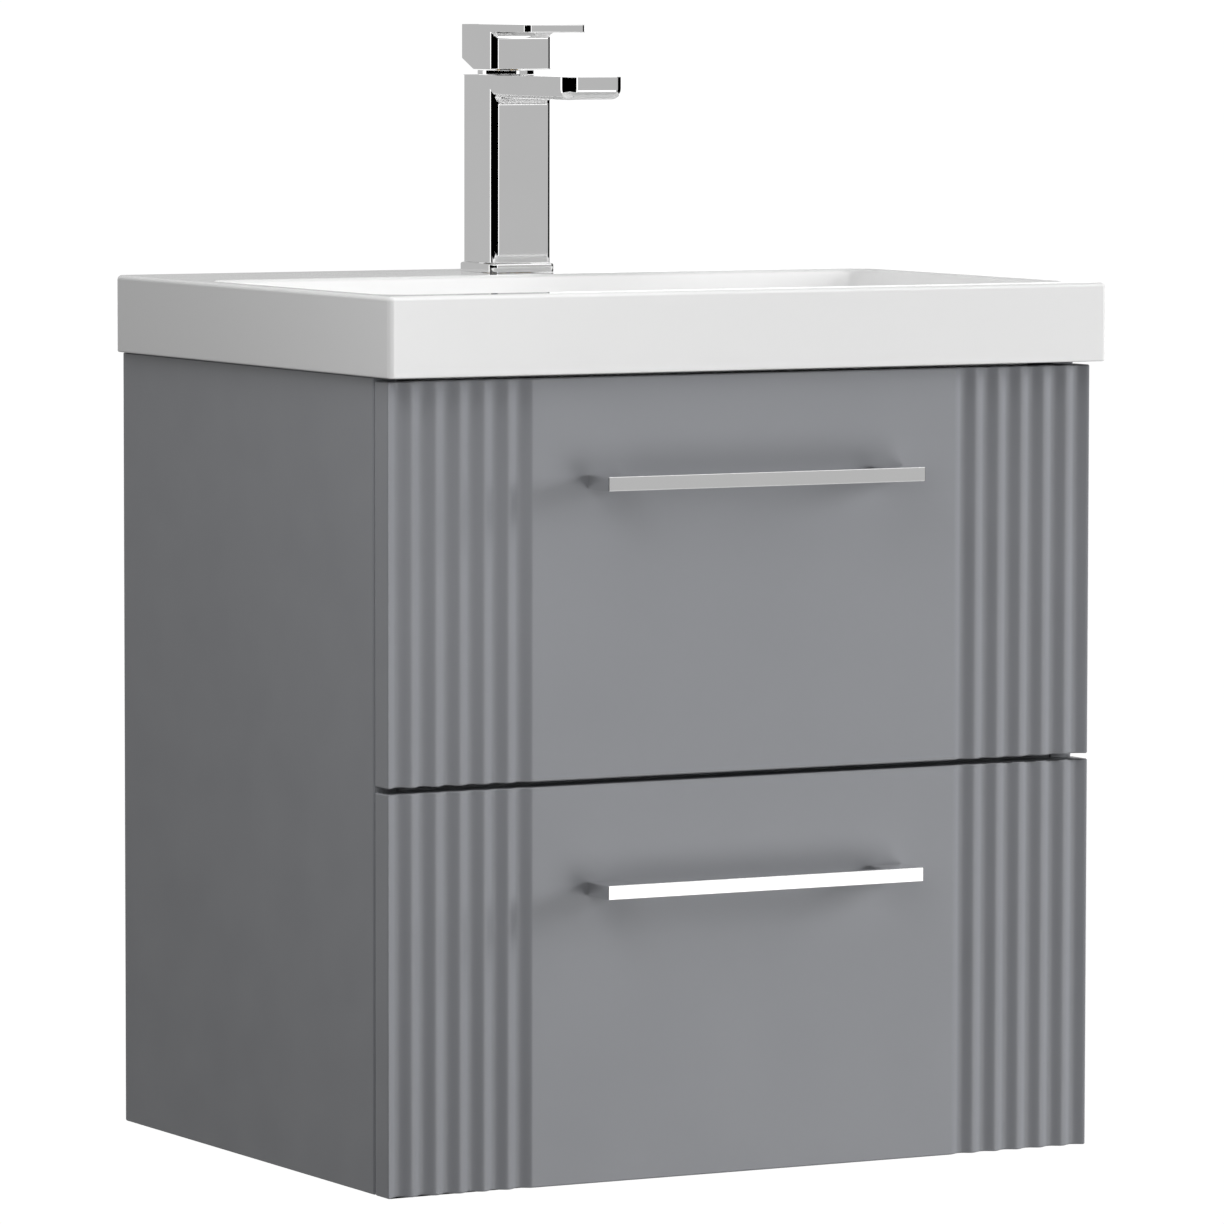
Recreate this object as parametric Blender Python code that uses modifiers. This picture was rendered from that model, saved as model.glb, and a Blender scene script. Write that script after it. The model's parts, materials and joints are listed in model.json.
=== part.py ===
"""Wall-hung vanity: a two-drawer cabinet, a ceramic basin and a single-lever tap.

Metres. +X is right, +Y points into the wall, +Z is up. The wall plane is y = 0, and the origin is on
the rear face of the wall rail that carries the cabinet.
"""

import math

import bmesh
import bpy
from mathutils import Matrix, Vector

GAP = 0.0003  # left between pieces that touch

# Cabinet. Heights below are measured from its underside.
CABINET_WIDTH = 0.500
CABINET_HEIGHT = 0.503
CARCASS_DEPTH = 0.3625
RAIL_HEIGHT = 0.460  # the wall rail's middle
BOARD = 0.016
BOARD_EDGE = 0.0008
BACK_RAIL_HEIGHT = 0.094
BACK_RAIL_SETBACK = 0.008
HANGER_SPACE = 0.024  # between the wall and the top back rail
FRONT_TOP_RAIL = (0.390, 0.458)
FRONT_MID_RAIL = (0.229, 0.261)

# Drawer fronts.
FRONT_BOARD = 0.018
FRONT_HEIGHT = 0.2485
FRONT_GAP = 0.0035
BUFFER_GAP = 0.002  # between a closed front and the carcass
FLUTED_WIDTH = 0.100  # at each end of a front
FLUTES = 6
FLUTE_DEPTH = 0.0035
FLUTE_STEPS = 8

# Handles.
HANDLE_LENGTH = 0.225
HANDLE_HEIGHT = 0.009
HANDLE_REACH = 0.028
HANDLE_BAR = 0.005
HANDLE_FOOT = 0.024
HANDLE_DROP = 0.0645  # below the front's upper edge
SCREW_RADIUS = 0.0019
SCREW_HEAD_RADIUS = 0.0040
SCREW_HEAD = 0.0020
SCREW_CLEARANCE = 0.0003
SCREW_IN_FOOT = 0.010

# Drawer boxes and runners.
RUNNER_LENGTH = 0.300
RUNNER_SPACE = 0.013  # between the carcass and the box on each side
RUNNER_SHEET = 0.0012
BOX_DEPTH = 0.317
BOX_SIDE = 0.015
BOX_BOTTOM = 0.010
BOX_BOTTOM_LIFT = 0.008
UPPER_BOX = (0.268, 0.368)
LOWER_BOX = (0.028, 0.178)
UPPER_RUNNER_HEIGHT = 0.318
LOWER_RUNNER_HEIGHT = 0.090
NOTCH_HALF_WIDTH = 0.065
NOTCH_FRONT = -0.300
NOTCH_WALL = 0.012

# Basin.
BASIN_WIDTH = 0.510
BASIN_DEPTH = 0.395
BASIN_HEIGHT = 0.050
BASIN_EDGE = 0.003
BASIN_SKIRT = 0.018
DECK_THICKNESS = 0.012
BOWL_HALF_WIDTH = 0.2425
BOWL_FRONT = -0.370
BOWL_BACK = -0.112
BOWL_CORNER = 0.022
BOWL_DEPTH = 0.118
BOWL_DRAFT = 0.38  # how far a wall leans in per metre of depth
BOWL_FILLET = 0.025
BOWL_STEPS = 3  # facets in each rounding inside the bowl
BOWL_SHELL = 0.008
BOWL_SHELL_STEPS = 2
OVERFLOW_DEPTH = 0.042
OVERFLOW_RADIUS = 0.011
WASTE_RADIUS = 0.0225

# Tap, with heights above the basin's deck.
TAP_Y = -0.060
TAP_SIDE = 0.0444
TAP_CORNER = 0.0048
TAP_FLANGE_SIDE = 0.048
TAP_FLANGE_TOP = 0.006
TAP_TOP = 0.129
SPOUT_THICKNESS = 0.015
SPOUT_REACH = 0.102  # in front of the body
SPOUT_CORNER = 0.009
COLLAR_TOP = 0.132
COLLAR_RADIUS = 0.0195
LEVER_BOTTOM = 0.1327
LEVER_TOP = 0.162
LEVER_PLATE = 0.005
LEVER_REACH = 0.047  # in front of the block
LEVER_CHAMFER = (0.0160, 0.0070)
LEVER_FILLET = 0.005
CARTRIDGE_RADIUS = 0.0142
SPINDLE_RADIUS = 0.007
SHANK_RADIUS = 0.016
TAP_HOLE_RADIUS = 0.0175

ROUND_STEPS = 32
SMALL_STEPS = 20

# Places worked out from the sizes above.
FRONT_BACK = -(CARCASS_DEPTH + BUFFER_GAP)
FRONT_FACE = FRONT_BACK - FRONT_BOARD
INNER_HALF = CABINET_WIDTH / 2 - BOARD
BOX_HALF = INNER_HALF - RUNNER_SPACE
BOX_FRONT = FRONT_BACK + GAP
BOX_BACK = BOX_FRONT + BOX_DEPTH
DECK = CABINET_HEIGHT + BASIN_HEIGHT
BOWL_Y = (BOWL_FRONT + BOWL_BACK) / 2
BOWL_HALF_DEPTH = (BOWL_BACK - BOWL_FRONT) / 2
BOWL_FLOOR = DECK - BOWL_DEPTH
BOWL_UNDERSIDE = BOWL_FLOOR - BOWL_SHELL
TAP_FRONT = TAP_Y - TAP_SIDE / 2
TAP_BACK = TAP_Y + TAP_SIDE / 2
LOWER_FRONT_LOW = 0.0
UPPER_FRONT_LOW = FRONT_HEIGHT + FRONT_GAP

# Linear colours of the finishes.
GREY_LACQUER = (0.245, 0.250, 0.268, 1.0)
CERAMIC = (0.86, 0.86, 0.86, 1.0)
CHROME = (0.82, 0.82, 0.82, 1.0)
ZINC = (0.55, 0.56, 0.58, 1.0)
WHITE_BOARD = (0.72, 0.72, 0.71, 1.0)
WHITE_PLASTIC = (0.80, 0.80, 0.79, 1.0)
BRASS = (0.62, 0.45, 0.20, 1.0)


def level(height):
    """The world Z of a height above the cabinet's underside."""
    return height - RAIL_HEIGHT


def clear_scene():
    for thing in list(bpy.data.objects):
        bpy.data.objects.remove(thing)


def new_collection(name):
    made = bpy.data.collections.new(name)
    bpy.context.scene.collection.children.link(made)
    return made


def finish(name, colour, roughness, metallic):
    made = bpy.data.materials.new(name)
    made.use_nodes = True
    shader = made.node_tree.nodes["Principled BSDF"]
    shader.inputs["Base Color"].default_value = colour
    shader.inputs["Roughness"].default_value = roughness
    shader.inputs["Metallic"].default_value = metallic
    made.diffuse_color = colour
    return made


def empty(name, place):
    made = bpy.data.objects.new(name, None)
    made.empty_display_size = 0.05
    made.location = place
    parts.objects.link(made)
    return made


def add_part(name, mesh, place, look, parent):
    """Links a mesh as one sub-part, at a world place and under the empty of its body."""
    made = bpy.data.objects.new(name, mesh)
    mesh.materials.append(look)
    parts.objects.link(made)
    made.parent = parent
    made.location = Vector(place) - parent.location
    return made


def add_cutter(name, mesh, place):
    made = bpy.data.objects.new(name, mesh)
    cutters.objects.link(made)
    made.location = place
    made.hide_render = True
    made.display_type = "WIRE"
    return made


def mesh_from(made, name, smooth=False):
    mesh = bpy.data.meshes.new(name)
    made.to_mesh(mesh)
    made.free()
    if smooth:
        mesh.shade_smooth()
        mesh.set_sharp_from_angle(angle=math.radians(35))
    return mesh


def box_mesh(name, size):
    made = bmesh.new()
    bmesh.ops.create_cube(made, size=1.0)
    bmesh.ops.scale(made, vec=Vector(size), verts=made.verts)
    return mesh_from(made, name)


def middle_and_size(low, high):
    low = Vector(low)
    high = Vector(high)
    return (low + high) / 2, high - low


def board(name, low, high, look, parent, edge=BOARD_EDGE):
    """A flat board or bar between two corners, with its edges eased."""
    place, size = middle_and_size(low, high)
    made = add_part(name, box_mesh(name, size), place, look, parent)
    if edge > 0:
        ease = made.modifiers.new("eased_edges", "BEVEL")
        ease.width = edge
        ease.segments = 1
    return made


def box_cutter(name, low, high):
    place, size = middle_and_size(low, high)
    return add_cutter(name, box_mesh(name, size), place)


def rod_mesh(name, radius, length, axis="Z", steps=ROUND_STEPS):
    made = bmesh.new()
    turn = Matrix.Rotation(math.pi / 2, 4, "X") if axis == "Y" else Matrix.Identity(4)
    bmesh.ops.create_cone(made, cap_ends=True, segments=steps, radius1=radius, radius2=radius, depth=length,
                          matrix=turn)
    return mesh_from(made, name, smooth=True)


def turned_mesh(name, profile, steps=ROUND_STEPS):
    """A closed profile of (radius, height) points, turned round Z. A side that lies on Z is left out."""
    made = bmesh.new()
    points = [made.verts.new((radius, 0.0, height)) for radius, height in profile]
    for start, end in zip(points, points[1:] + points[:1]):
        if max(start.co.x, end.co.x) > 0:
            made.edges.new((start, end))
    bmesh.ops.spin(made, geom=made.verts[:] + made.edges[:], cent=(0, 0, 0), axis=(0, 0, 1),
                   angle=math.tau, steps=steps, use_merge=True)
    bmesh.ops.remove_doubles(made, verts=made.verts, dist=1e-6)
    bmesh.ops.recalc_face_normals(made, faces=made.faces)
    return mesh_from(made, name, smooth=True)


def outline_mesh(name, points, thickness, axis):
    """A flat outline extruded evenly to both sides of its plane, along the given world axis."""
    curve = bpy.data.curves.new(name, "CURVE")
    curve.dimensions = "2D"
    curve.fill_mode = "BOTH"
    curve.extrude = thickness / 2
    spline = curve.splines.new("POLY")
    spline.points.add(len(points) - 1)
    for point, (across, along) in zip(spline.points, points):
        point.co = (across, along, 0.0, 1.0)
    spline.use_cyclic_u = True
    guide = bpy.data.objects.new(name, curve)
    cutters.objects.link(guide)
    graph = bpy.context.evaluated_depsgraph_get()
    filled = bpy.data.meshes.new_from_object(guide.evaluated_get(graph))
    bpy.data.objects.remove(guide)
    made = bmesh.new()
    made.from_mesh(filled)
    bmesh.ops.remove_doubles(made, verts=made.verts, dist=1e-6)
    if axis == "X":  # the outline's axes are world Y and Z
        turn = Matrix(((0, 0, 1, 0), (1, 0, 0, 0), (0, 1, 0, 0), (0, 0, 0, 1)))
        made.transform(turn)
    if axis == "Y":  # the outline's axes are world X and Z
        made.transform(Matrix.Rotation(math.pi / 2, 4, "X"))
    bmesh.ops.recalc_face_normals(made, faces=made.faces)
    return mesh_from(made, name)


def boolean(target, other, operation="DIFFERENCE", solver="EXACT"):
    step = target.modifiers.new(other.name, "BOOLEAN")
    step.operation = operation
    step.solver = solver
    step.object = other


def upright_edges(made):
    return [edge for edge in made.edges
            if abs(edge.verts[0].co.z - edge.verts[1].co.z) > max(
                abs(edge.verts[0].co.x - edge.verts[1].co.x), abs(edge.verts[0].co.y - edge.verts[1].co.y))]


def round_edges(made, edges, radius, segments):
    bmesh.ops.bevel(made, geom=edges, offset=radius, segments=segments, profile=0.5, affect="EDGES",
                    offset_type="OFFSET", material=-1)


def block_mesh(name, size, corner, segments=4):
    """A box with rounded upright edges."""
    made = bmesh.new()
    bmesh.ops.create_cube(made, size=1.0)
    bmesh.ops.scale(made, vec=Vector(size), verts=made.verts)
    round_edges(made, upright_edges(made), corner, segments)
    return mesh_from(made, name, smooth=True)


# ---------------------------------------------------------------- carcass


def make_side_panels(body):
    for name, side in (("left_side_panel", -1), ("right_side_panel", 1)):
        inner = side * INNER_HALF
        outer = side * CABINET_WIDTH / 2
        board(name, (min(inner, outer), -CARCASS_DEPTH, level(0)),
              (max(inner, outer), 0.0, level(CABINET_HEIGHT - GAP)), lacquer, body)


def make_cross_rails(body):
    half = INNER_HALF - GAP
    front = -CARCASS_DEPTH
    board("bottom_panel", (-half, front, level(0)), (half, 0.0, level(BOARD)), lacquer, body)
    for name, heights in (("front_top_rail", FRONT_TOP_RAIL), ("front_mid_rail", FRONT_MID_RAIL)):
        low, high = heights
        board(name, (-half, front, level(low)), (half, front + BOARD, level(high)), lacquer, body)
    top = CABINET_HEIGHT - GAP
    board("back_top_rail", (-half, -HANGER_SPACE - BOARD, level(top - BACK_RAIL_HEIGHT)),
          (half, -HANGER_SPACE, level(top)), lacquer, body)
    low = BOARD + GAP
    board("back_bottom_rail", (-half, -BACK_RAIL_SETBACK - BOARD, level(low)),
          (half, -BACK_RAIL_SETBACK, level(low + BACK_RAIL_HEIGHT)), lacquer, body)


def make_hanging(body):
    """The steel rail on the wall, with an upstanding lip, and the two hangers that hook over it."""
    sheet = 0.002
    jog = 0.008
    low, step, lip_top = -0.0175, 0.0075, 0.0175
    rail = [(0.0, low), (-sheet, low), (-sheet, step - sheet), (-jog, step - sheet), (-jog, lip_top),
            (sheet - jog, lip_top), (sheet - jog, step), (0.0, step)]
    rail_half = INNER_HALF - 0.006
    add_part("wall_rail", outline_mesh("wall_rail", rail, 2 * rail_half, "X"), (0, 0, 0), zinc, body)
    front, back, height = GAP - HANGER_SPACE, -jog - 0.0007, 0.030
    tongue_front, tongue_back, tongue_low = -0.0055, -0.0025, 0.0085
    hook_low, hook_top = 0.0180, 0.0240
    hook = [(front, -height), (back, -height), (back, hook_low), (tongue_front, hook_low),
            (tongue_front, tongue_low), (tongue_back, tongue_low), (tongue_back, hook_top), (back, hook_top),
            (back, height), (front, height)]
    hanger_width = 0.030
    for name, side in (("left_hanger", -1), ("right_hanger", 1)):
        middle = side * (INNER_HALF - GAP - hanger_width / 2)
        add_part(name, outline_mesh(name, hook, hanger_width, "X"), (middle, 0, 0), zinc, body)


# ---------------------------------------------------------------- basin


def bowl_mesh(name, offset, top, steps):
    """The bowl's tapered block, grown by an offset, from a height down to its floor."""
    floor = BOWL_FLOOR - offset
    made = bmesh.new()
    bmesh.ops.create_cube(made, size=1.0)
    for vert in made.verts:
        height = top if vert.co.z > 0 else floor
        inset = BOWL_DRAFT * (DECK - height) - offset * math.sqrt(1 + BOWL_DRAFT ** 2)
        vert.co.x = math.copysign(BOWL_HALF_WIDTH - inset, vert.co.x)
        vert.co.y = math.copysign(BOWL_HALF_DEPTH - inset, vert.co.y)
        vert.co.z = level(height)
    round_edges(made, upright_edges(made), BOWL_CORNER + offset, steps)
    lowest = [edge for edge in made.edges if all(vert.co.z < level(floor) + 1e-6 for vert in edge.verts)]
    round_edges(made, lowest, BOWL_FILLET + offset, steps)
    bmesh.ops.recalc_face_normals(made, faces=made.faces)
    return mesh_from(made, name)


def make_basin(body):
    half = BASIN_WIDTH / 2
    place, size = middle_and_size((-half, -BASIN_DEPTH, level(CABINET_HEIGHT)), (half, 0.0, level(DECK)))
    basin = add_part("basin", box_mesh("basin", size), place, ceramic, body)
    ease = basin.modifiers.new("soft_rim", "BEVEL")
    ease.width = BASIN_EDGE
    ease.segments = 2
    slab = DECK - DECK_THICKNESS
    pocket = box_cutter("basin_underside",
                        (BASIN_SKIRT - half, BASIN_SKIRT - BASIN_DEPTH, level(CABINET_HEIGHT - 0.01)),
                        (half - BASIN_SKIRT, -BASIN_SKIRT, level(slab)))
    shell_mesh = bowl_mesh("bowl_shell", BOWL_SHELL, DECK - 0.005, BOWL_SHELL_STEPS)
    hollow_mesh = bowl_mesh("bowl_hollow", 0.0, DECK + 0.010, BOWL_STEPS)
    shell = add_cutter("bowl_shell", shell_mesh, (0, BOWL_Y, 0))
    hollow = add_cutter("bowl_hollow", hollow_mesh, (0, BOWL_Y, 0))
    tap_hole = add_cutter("tap_hole", rod_mesh("tap_hole", TAP_HOLE_RADIUS, 0.060), (0, TAP_Y, level(DECK)))
    waste_hole = add_cutter("waste_hole", rod_mesh("waste_hole", WASTE_RADIUS + 0.0005, 0.060),
                            (0, BOWL_Y, level(BOWL_FLOOR)))
    overflow_mesh = rod_mesh("overflow_hole", OVERFLOW_RADIUS, 0.030, steps=SMALL_STEPS)
    overflow = add_cutter("overflow_hole", overflow_mesh, overflow_place())
    overflow.rotation_euler.x = overflow_turn()
    boolean(basin, pocket, solver="MANIFOLD")
    boolean(basin, shell, "UNION", solver="MANIFOLD")
    for cutter in (hollow, tap_hole, waste_hole, overflow):
        boolean(basin, cutter, solver="MANIFOLD")


def overflow_place():
    return (0.0, BOWL_BACK - BOWL_DRAFT * OVERFLOW_DEPTH, level(DECK - OVERFLOW_DEPTH))


def overflow_turn():
    """Turns +Z to the back wall's inward normal, which points to the front and a little up."""
    return math.pi / 2 - math.atan(BOWL_DRAFT)


def make_overflow_ring(body):
    tube = OVERFLOW_RADIUS - GAP
    bore = tube - 0.002
    flange = OVERFLOW_RADIUS + 0.003
    profile = [(flange, 0.0018), (flange, GAP), (tube, GAP), (tube, -0.0075), (bore, -0.0075), (bore, 0.0018)]
    ring = add_part("overflow_ring", turned_mesh("overflow_ring", profile, SMALL_STEPS), overflow_place(),
                    chrome, body)
    ring.rotation_euler.x = overflow_turn()


def make_waste(body):
    """The flanged waste with its threaded tail, and the nut below the bowl."""
    flange, tail, bore = 0.0315, WASTE_RADIUS - 0.0003, 0.0190
    top, tail_end = BOWL_FLOOR + 0.0030, BOWL_FLOOR - 0.075
    seat = BOWL_FLOOR + GAP
    profile = [(flange - 0.001, top), (flange, seat), (tail, seat), (tail, tail_end), (bore, tail_end),
               (bore, top - 0.0015), (bore + 0.002, top)]
    centred = [(radius, level(height)) for radius, height in profile]
    add_part("waste_flange", turned_mesh("waste_flange", centred), (0, BOWL_Y, 0), chrome, body)
    nut_top, nut_height = BOWL_UNDERSIDE - GAP, 0.010
    ring("waste_nut", WASTE_RADIUS, 0.030, nut_top - nut_height, nut_top, (0, BOWL_Y), white_plastic, body)
    ring("trap_nut", WASTE_RADIUS, 0.029, tail_end + 0.002, tail_end + 0.022, (0, BOWL_Y), chrome, body)


def ring(name, inner, outer, low, high, middle, look, parent):
    profile = [(outer, high), (outer, low), (inner, low), (inner, high)]
    centred = [(radius, level(height)) for radius, height in profile]
    return add_part(name, turned_mesh(name, centred), (middle[0], middle[1], 0), look, parent)


def make_plug(slide):
    """The press-to-lift plug: a domed cap on a guide that slides in the waste."""
    cap, guide = 0.0300, 0.0150
    low = BOWL_FLOOR + 0.0036
    guide_end = low - 0.026
    profile = [(0.0, low + 0.0052), (0.012, low + 0.0049), (0.022, low + 0.0040), (cap - 0.001, low + 0.0022),
               (cap, low + 0.0010), (cap - 0.001, low), (guide, low), (guide, guide_end), (0.0, guide_end)]
    centred = [(radius, level(height)) for radius, height in profile]
    add_part("waste_plug", turned_mesh("waste_plug", centred), (0, BOWL_Y, 0), chrome, slide)


# ---------------------------------------------------------------- bottle trap


def make_trap(body):
    """A bottle trap under the waste, with its outlet pipe to the wall."""
    top = BOWL_FLOOR - 0.075 - GAP
    neck, neck_bore = 0.0205, 0.0175
    bottle, bottle_bore = 0.0300, 0.0270
    shoulder, cup_top, cup_bottom = top - 0.022, 0.262, 0.236
    profile = [(neck, top), (neck, shoulder), (bottle, shoulder - 0.006), (bottle, cup_top + GAP),
               (bottle_bore, cup_top + GAP), (bottle_bore, shoulder - 0.008), (neck_bore, shoulder - 0.002),
               (neck_bore, top)]
    centred = [(radius, level(height)) for radius, height in profile]
    trap = add_part("trap_body", turned_mesh("trap_body", centred), (0, BOWL_Y, 0), chrome, body)
    pipe_height, pipe, stub = 0.312, 0.0160, 0.0205
    stub_end = BOWL_Y + 0.045
    stub_start = BOWL_Y + bottle_bore - 0.004
    spigot = rod_mesh("trap_spigot", stub, stub_end - stub_start, "Y")
    stub_middle = (stub_end + stub_start) / 2
    boolean(trap, add_cutter("trap_spigot", spigot, (0, stub_middle, level(pipe_height))), "UNION")
    bore = rod_mesh("trap_bore", pipe + GAP, 0.060, "Y")
    boolean(trap, add_cutter("trap_bore", bore, (0, BOWL_Y + 0.035, level(pipe_height))))
    clear = rod_mesh("trap_inside", bottle_bore, shoulder - 0.010 - cup_top + 0.010)
    middle = (shoulder - 0.010 + cup_top - 0.010) / 2
    boolean(trap, add_cutter("trap_inside", clear, (0, BOWL_Y, level(middle + 0.005))))
    cup, wall, floor = 0.0315, 0.0045, 0.004
    cup_profile = [(cup, cup_top), (cup, cup_bottom + 0.004), (cup - 0.004, cup_bottom), (0.0, cup_bottom),
                   (0.0, cup_bottom + floor), (cup - wall, cup_bottom + floor), (cup - wall, cup_top)]
    centred = [(radius, level(height)) for radius, height in cup_profile]
    add_part("trap_cup", turned_mesh("trap_cup", centred), (0, BOWL_Y, 0), chrome, body)
    pipe_start = BOWL_Y + bottle + 0.002
    tube("trap_outlet_pipe", pipe - 0.0015, pipe, pipe_start, 0.0, pipe_height, chrome, body)
    tube("wall_collar", pipe + GAP, 0.034, -0.006, 0.0, pipe_height, chrome, body)


def tube(name, inner, outer, start, end, height, look, parent):
    """A tube along Y at the cabinet's middle."""
    half = (end - start) / 2
    middle = (start + end) / 2
    profile = [(outer, half), (outer, -half), (inner, -half), (inner, half)]
    made = add_part(name, turned_mesh(name, profile, SMALL_STEPS), (0, middle, level(height)), look, parent)
    made.rotation_euler.x = math.pi / 2


# ---------------------------------------------------------------- tap


def tap_level(height):
    return level(DECK + height)


def make_tap_fixed(body):
    bottom = TAP_FLANGE_TOP + GAP
    flange_size = (TAP_FLANGE_SIDE, TAP_FLANGE_SIDE, TAP_FLANGE_TOP - GAP)
    flange_middle = tap_level((TAP_FLANGE_TOP + GAP) / 2)
    flange_mesh = block_mesh("tap_flange", flange_size, TAP_CORNER)
    flange = add_part("tap_flange", flange_mesh, (0, TAP_Y, flange_middle), chrome, body)
    shank_way = rod_mesh("shank_way", SHANK_RADIUS + 0.0005, 0.030)
    boolean(flange, add_cutter("shank_way", shank_way, (0, TAP_Y, tap_level(0))))
    column_mesh = block_mesh("tap_body", (TAP_SIDE, TAP_SIDE, TAP_TOP - bottom), TAP_CORNER)
    column = add_part("tap_body", column_mesh, (0, TAP_Y, tap_level((TAP_TOP + bottom) / 2)), chrome, body)
    boolean(column, spout_block(), "UNION")
    cartridge_low = 0.085
    seat_top = TAP_TOP + 0.020
    seat = rod_mesh("cartridge_seat", CARTRIDGE_RADIUS + GAP, seat_top - cartridge_low)
    seat_middle = tap_level((seat_top + cartridge_low) / 2)
    boolean(column, add_cutter("cartridge_seat", seat, (0, TAP_Y, seat_middle)))
    inlet = rod_mesh("inlet_way", 0.0110, 0.070, steps=SMALL_STEPS)
    boolean(column, add_cutter("inlet_way", inlet, (0, TAP_Y, tap_level(0.035))))
    outlet_y = TAP_FRONT - SPOUT_REACH + 0.018
    outlet_height = TAP_TOP - 0.0075
    way = rod_mesh("spout_way", 0.0045, TAP_Y - outlet_y, "Y", SMALL_STEPS)
    boolean(column, add_cutter("spout_way", way, (0, (TAP_Y + outlet_y) / 2, tap_level(outlet_height))))
    mouth = rod_mesh("spout_mouth", 0.0110, 0.020, steps=SMALL_STEPS)
    mouth_top = TAP_TOP - 0.004
    boolean(column, add_cutter("spout_mouth", mouth, (0, outlet_y, tap_level(mouth_top - 0.010))))
    aerator_low = TAP_TOP - SPOUT_THICKNESS + 0.0005
    aerator_top = mouth_top - 0.001
    aerator = rod_mesh("tap_aerator", 0.0105, aerator_top - aerator_low, steps=SMALL_STEPS)
    aerator_middle = tap_level((aerator_top + aerator_low) / 2)
    add_part("tap_aerator", aerator, (0, outlet_y, aerator_middle), chrome, body)
    cartridge = rod_mesh("tap_cartridge", CARTRIDGE_RADIUS, TAP_TOP - cartridge_low - GAP)
    cartridge_middle = tap_level((TAP_TOP + cartridge_low + GAP) / 2)
    add_part("tap_cartridge", cartridge, (0, TAP_Y, cartridge_middle), brass, body)
    centre = (0, TAP_Y)
    ring("tap_collar", SPINDLE_RADIUS + 0.002, COLLAR_RADIUS, DECK + TAP_TOP + GAP, DECK + COLLAR_TOP, centre,
         chrome, body)
    ring("tap_shank", 0.011, SHANK_RADIUS, DECK - 0.048, DECK + TAP_FLANGE_TOP, centre, brass, body)
    nut_top = DECK - DECK_THICKNESS - GAP
    ring("tap_backnut", SHANK_RADIUS + GAP, 0.024, nut_top - 0.008, nut_top, centre, brass, body)


def spout_block():
    """The flat spout, rounded at its tip and under its long edges."""
    tip = TAP_FRONT - SPOUT_REACH
    length = TAP_Y - tip
    made = bmesh.new()
    bmesh.ops.create_cube(made, size=1.0)
    bmesh.ops.scale(made, vec=Vector((TAP_SIDE, length, SPOUT_THICKNESS)), verts=made.verts)
    front = [edge for edge in upright_edges(made) if edge.verts[0].co.y < 0]
    round_edges(made, front, SPOUT_CORNER, 4)
    lowest = -SPOUT_THICKNESS / 2 + 1e-6
    back = length / 2 - 1e-6
    under = [edge for edge in made.edges if all(vert.co.z < lowest for vert in edge.verts)
             and not all(vert.co.y > back for vert in edge.verts)]
    round_edges(made, under, 0.005, 3)
    middle = (0, (TAP_Y + tip) / 2, tap_level(TAP_TOP - SPOUT_THICKNESS / 2))
    return add_cutter("spout_block", mesh_from(made, "spout_block", smooth=True), middle)


def make_spindle(turning):
    low, top = TAP_TOP + 0.0001, 0.146
    spindle = rod_mesh("tap_spindle", SPINDLE_RADIUS, top - low, steps=SMALL_STEPS)
    add_part("tap_spindle", spindle, (0, TAP_Y, tap_level((top + low) / 2)), brass, turning)


def make_lever(lever):
    """One casting: the block over the collar and the flat plate in front, with a pocket for the spindle."""
    reach = TAP_FRONT - LEVER_REACH
    plate_low = LEVER_TOP - LEVER_PLATE
    chamfer_depth, chamfer_height = LEVER_CHAMFER
    outline = [(TAP_FRONT, LEVER_BOTTOM), (TAP_BACK - chamfer_depth, LEVER_BOTTOM),
               (TAP_BACK, LEVER_BOTTOM + chamfer_height), (TAP_BACK, LEVER_TOP), (reach, LEVER_TOP),
               (reach, plate_low)]
    steps = 4
    for index in range(steps + 1):
        angle = math.pi / 2 * index / steps
        outline.append((TAP_FRONT - LEVER_FILLET + LEVER_FILLET * math.sin(angle),
                        plate_low - LEVER_FILLET + LEVER_FILLET * math.cos(angle)))
    shape = [(along, tap_level(height)) for along, height in outline]
    block = add_part("tap_lever", outline_mesh("tap_lever", shape, TAP_SIDE, "X"), (0, 0, 0), chrome, lever)
    soften = block.modifiers.new("soft_edges", "BEVEL")
    soften.width = 0.0010
    soften.segments = 1
    soften.limit_method = "ANGLE"
    pocket_top = 0.149
    boolean(block, box_cutter("spindle_pocket", (-0.0095, TAP_Y - 0.0125, tap_level(LEVER_BOTTOM - 0.005)),
                              (0.0095, TAP_Y + 0.0125, tap_level(pocket_top))))


# ---------------------------------------------------------------- drawers


def front_outline():
    """The plan of a drawer front: a flat middle, and an even wave across each end."""
    half = CABINET_WIDTH / 2
    pitch = FLUTED_WIDTH / FLUTES
    start = half - FLUTED_WIDTH
    wave = []
    for index in range(FLUTES * FLUTE_STEPS + 1):
        across = index * pitch / FLUTE_STEPS
        depth = FLUTE_DEPTH * (1 - math.cos(math.tau * across / pitch)) / 2
        wave.append((start + across, FRONT_FACE + depth))
    mirrored = [(-across, along) for across, along in reversed(wave)]
    return mirrored + wave + [(half, FRONT_BACK), (-half, FRONT_BACK)]


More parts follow.
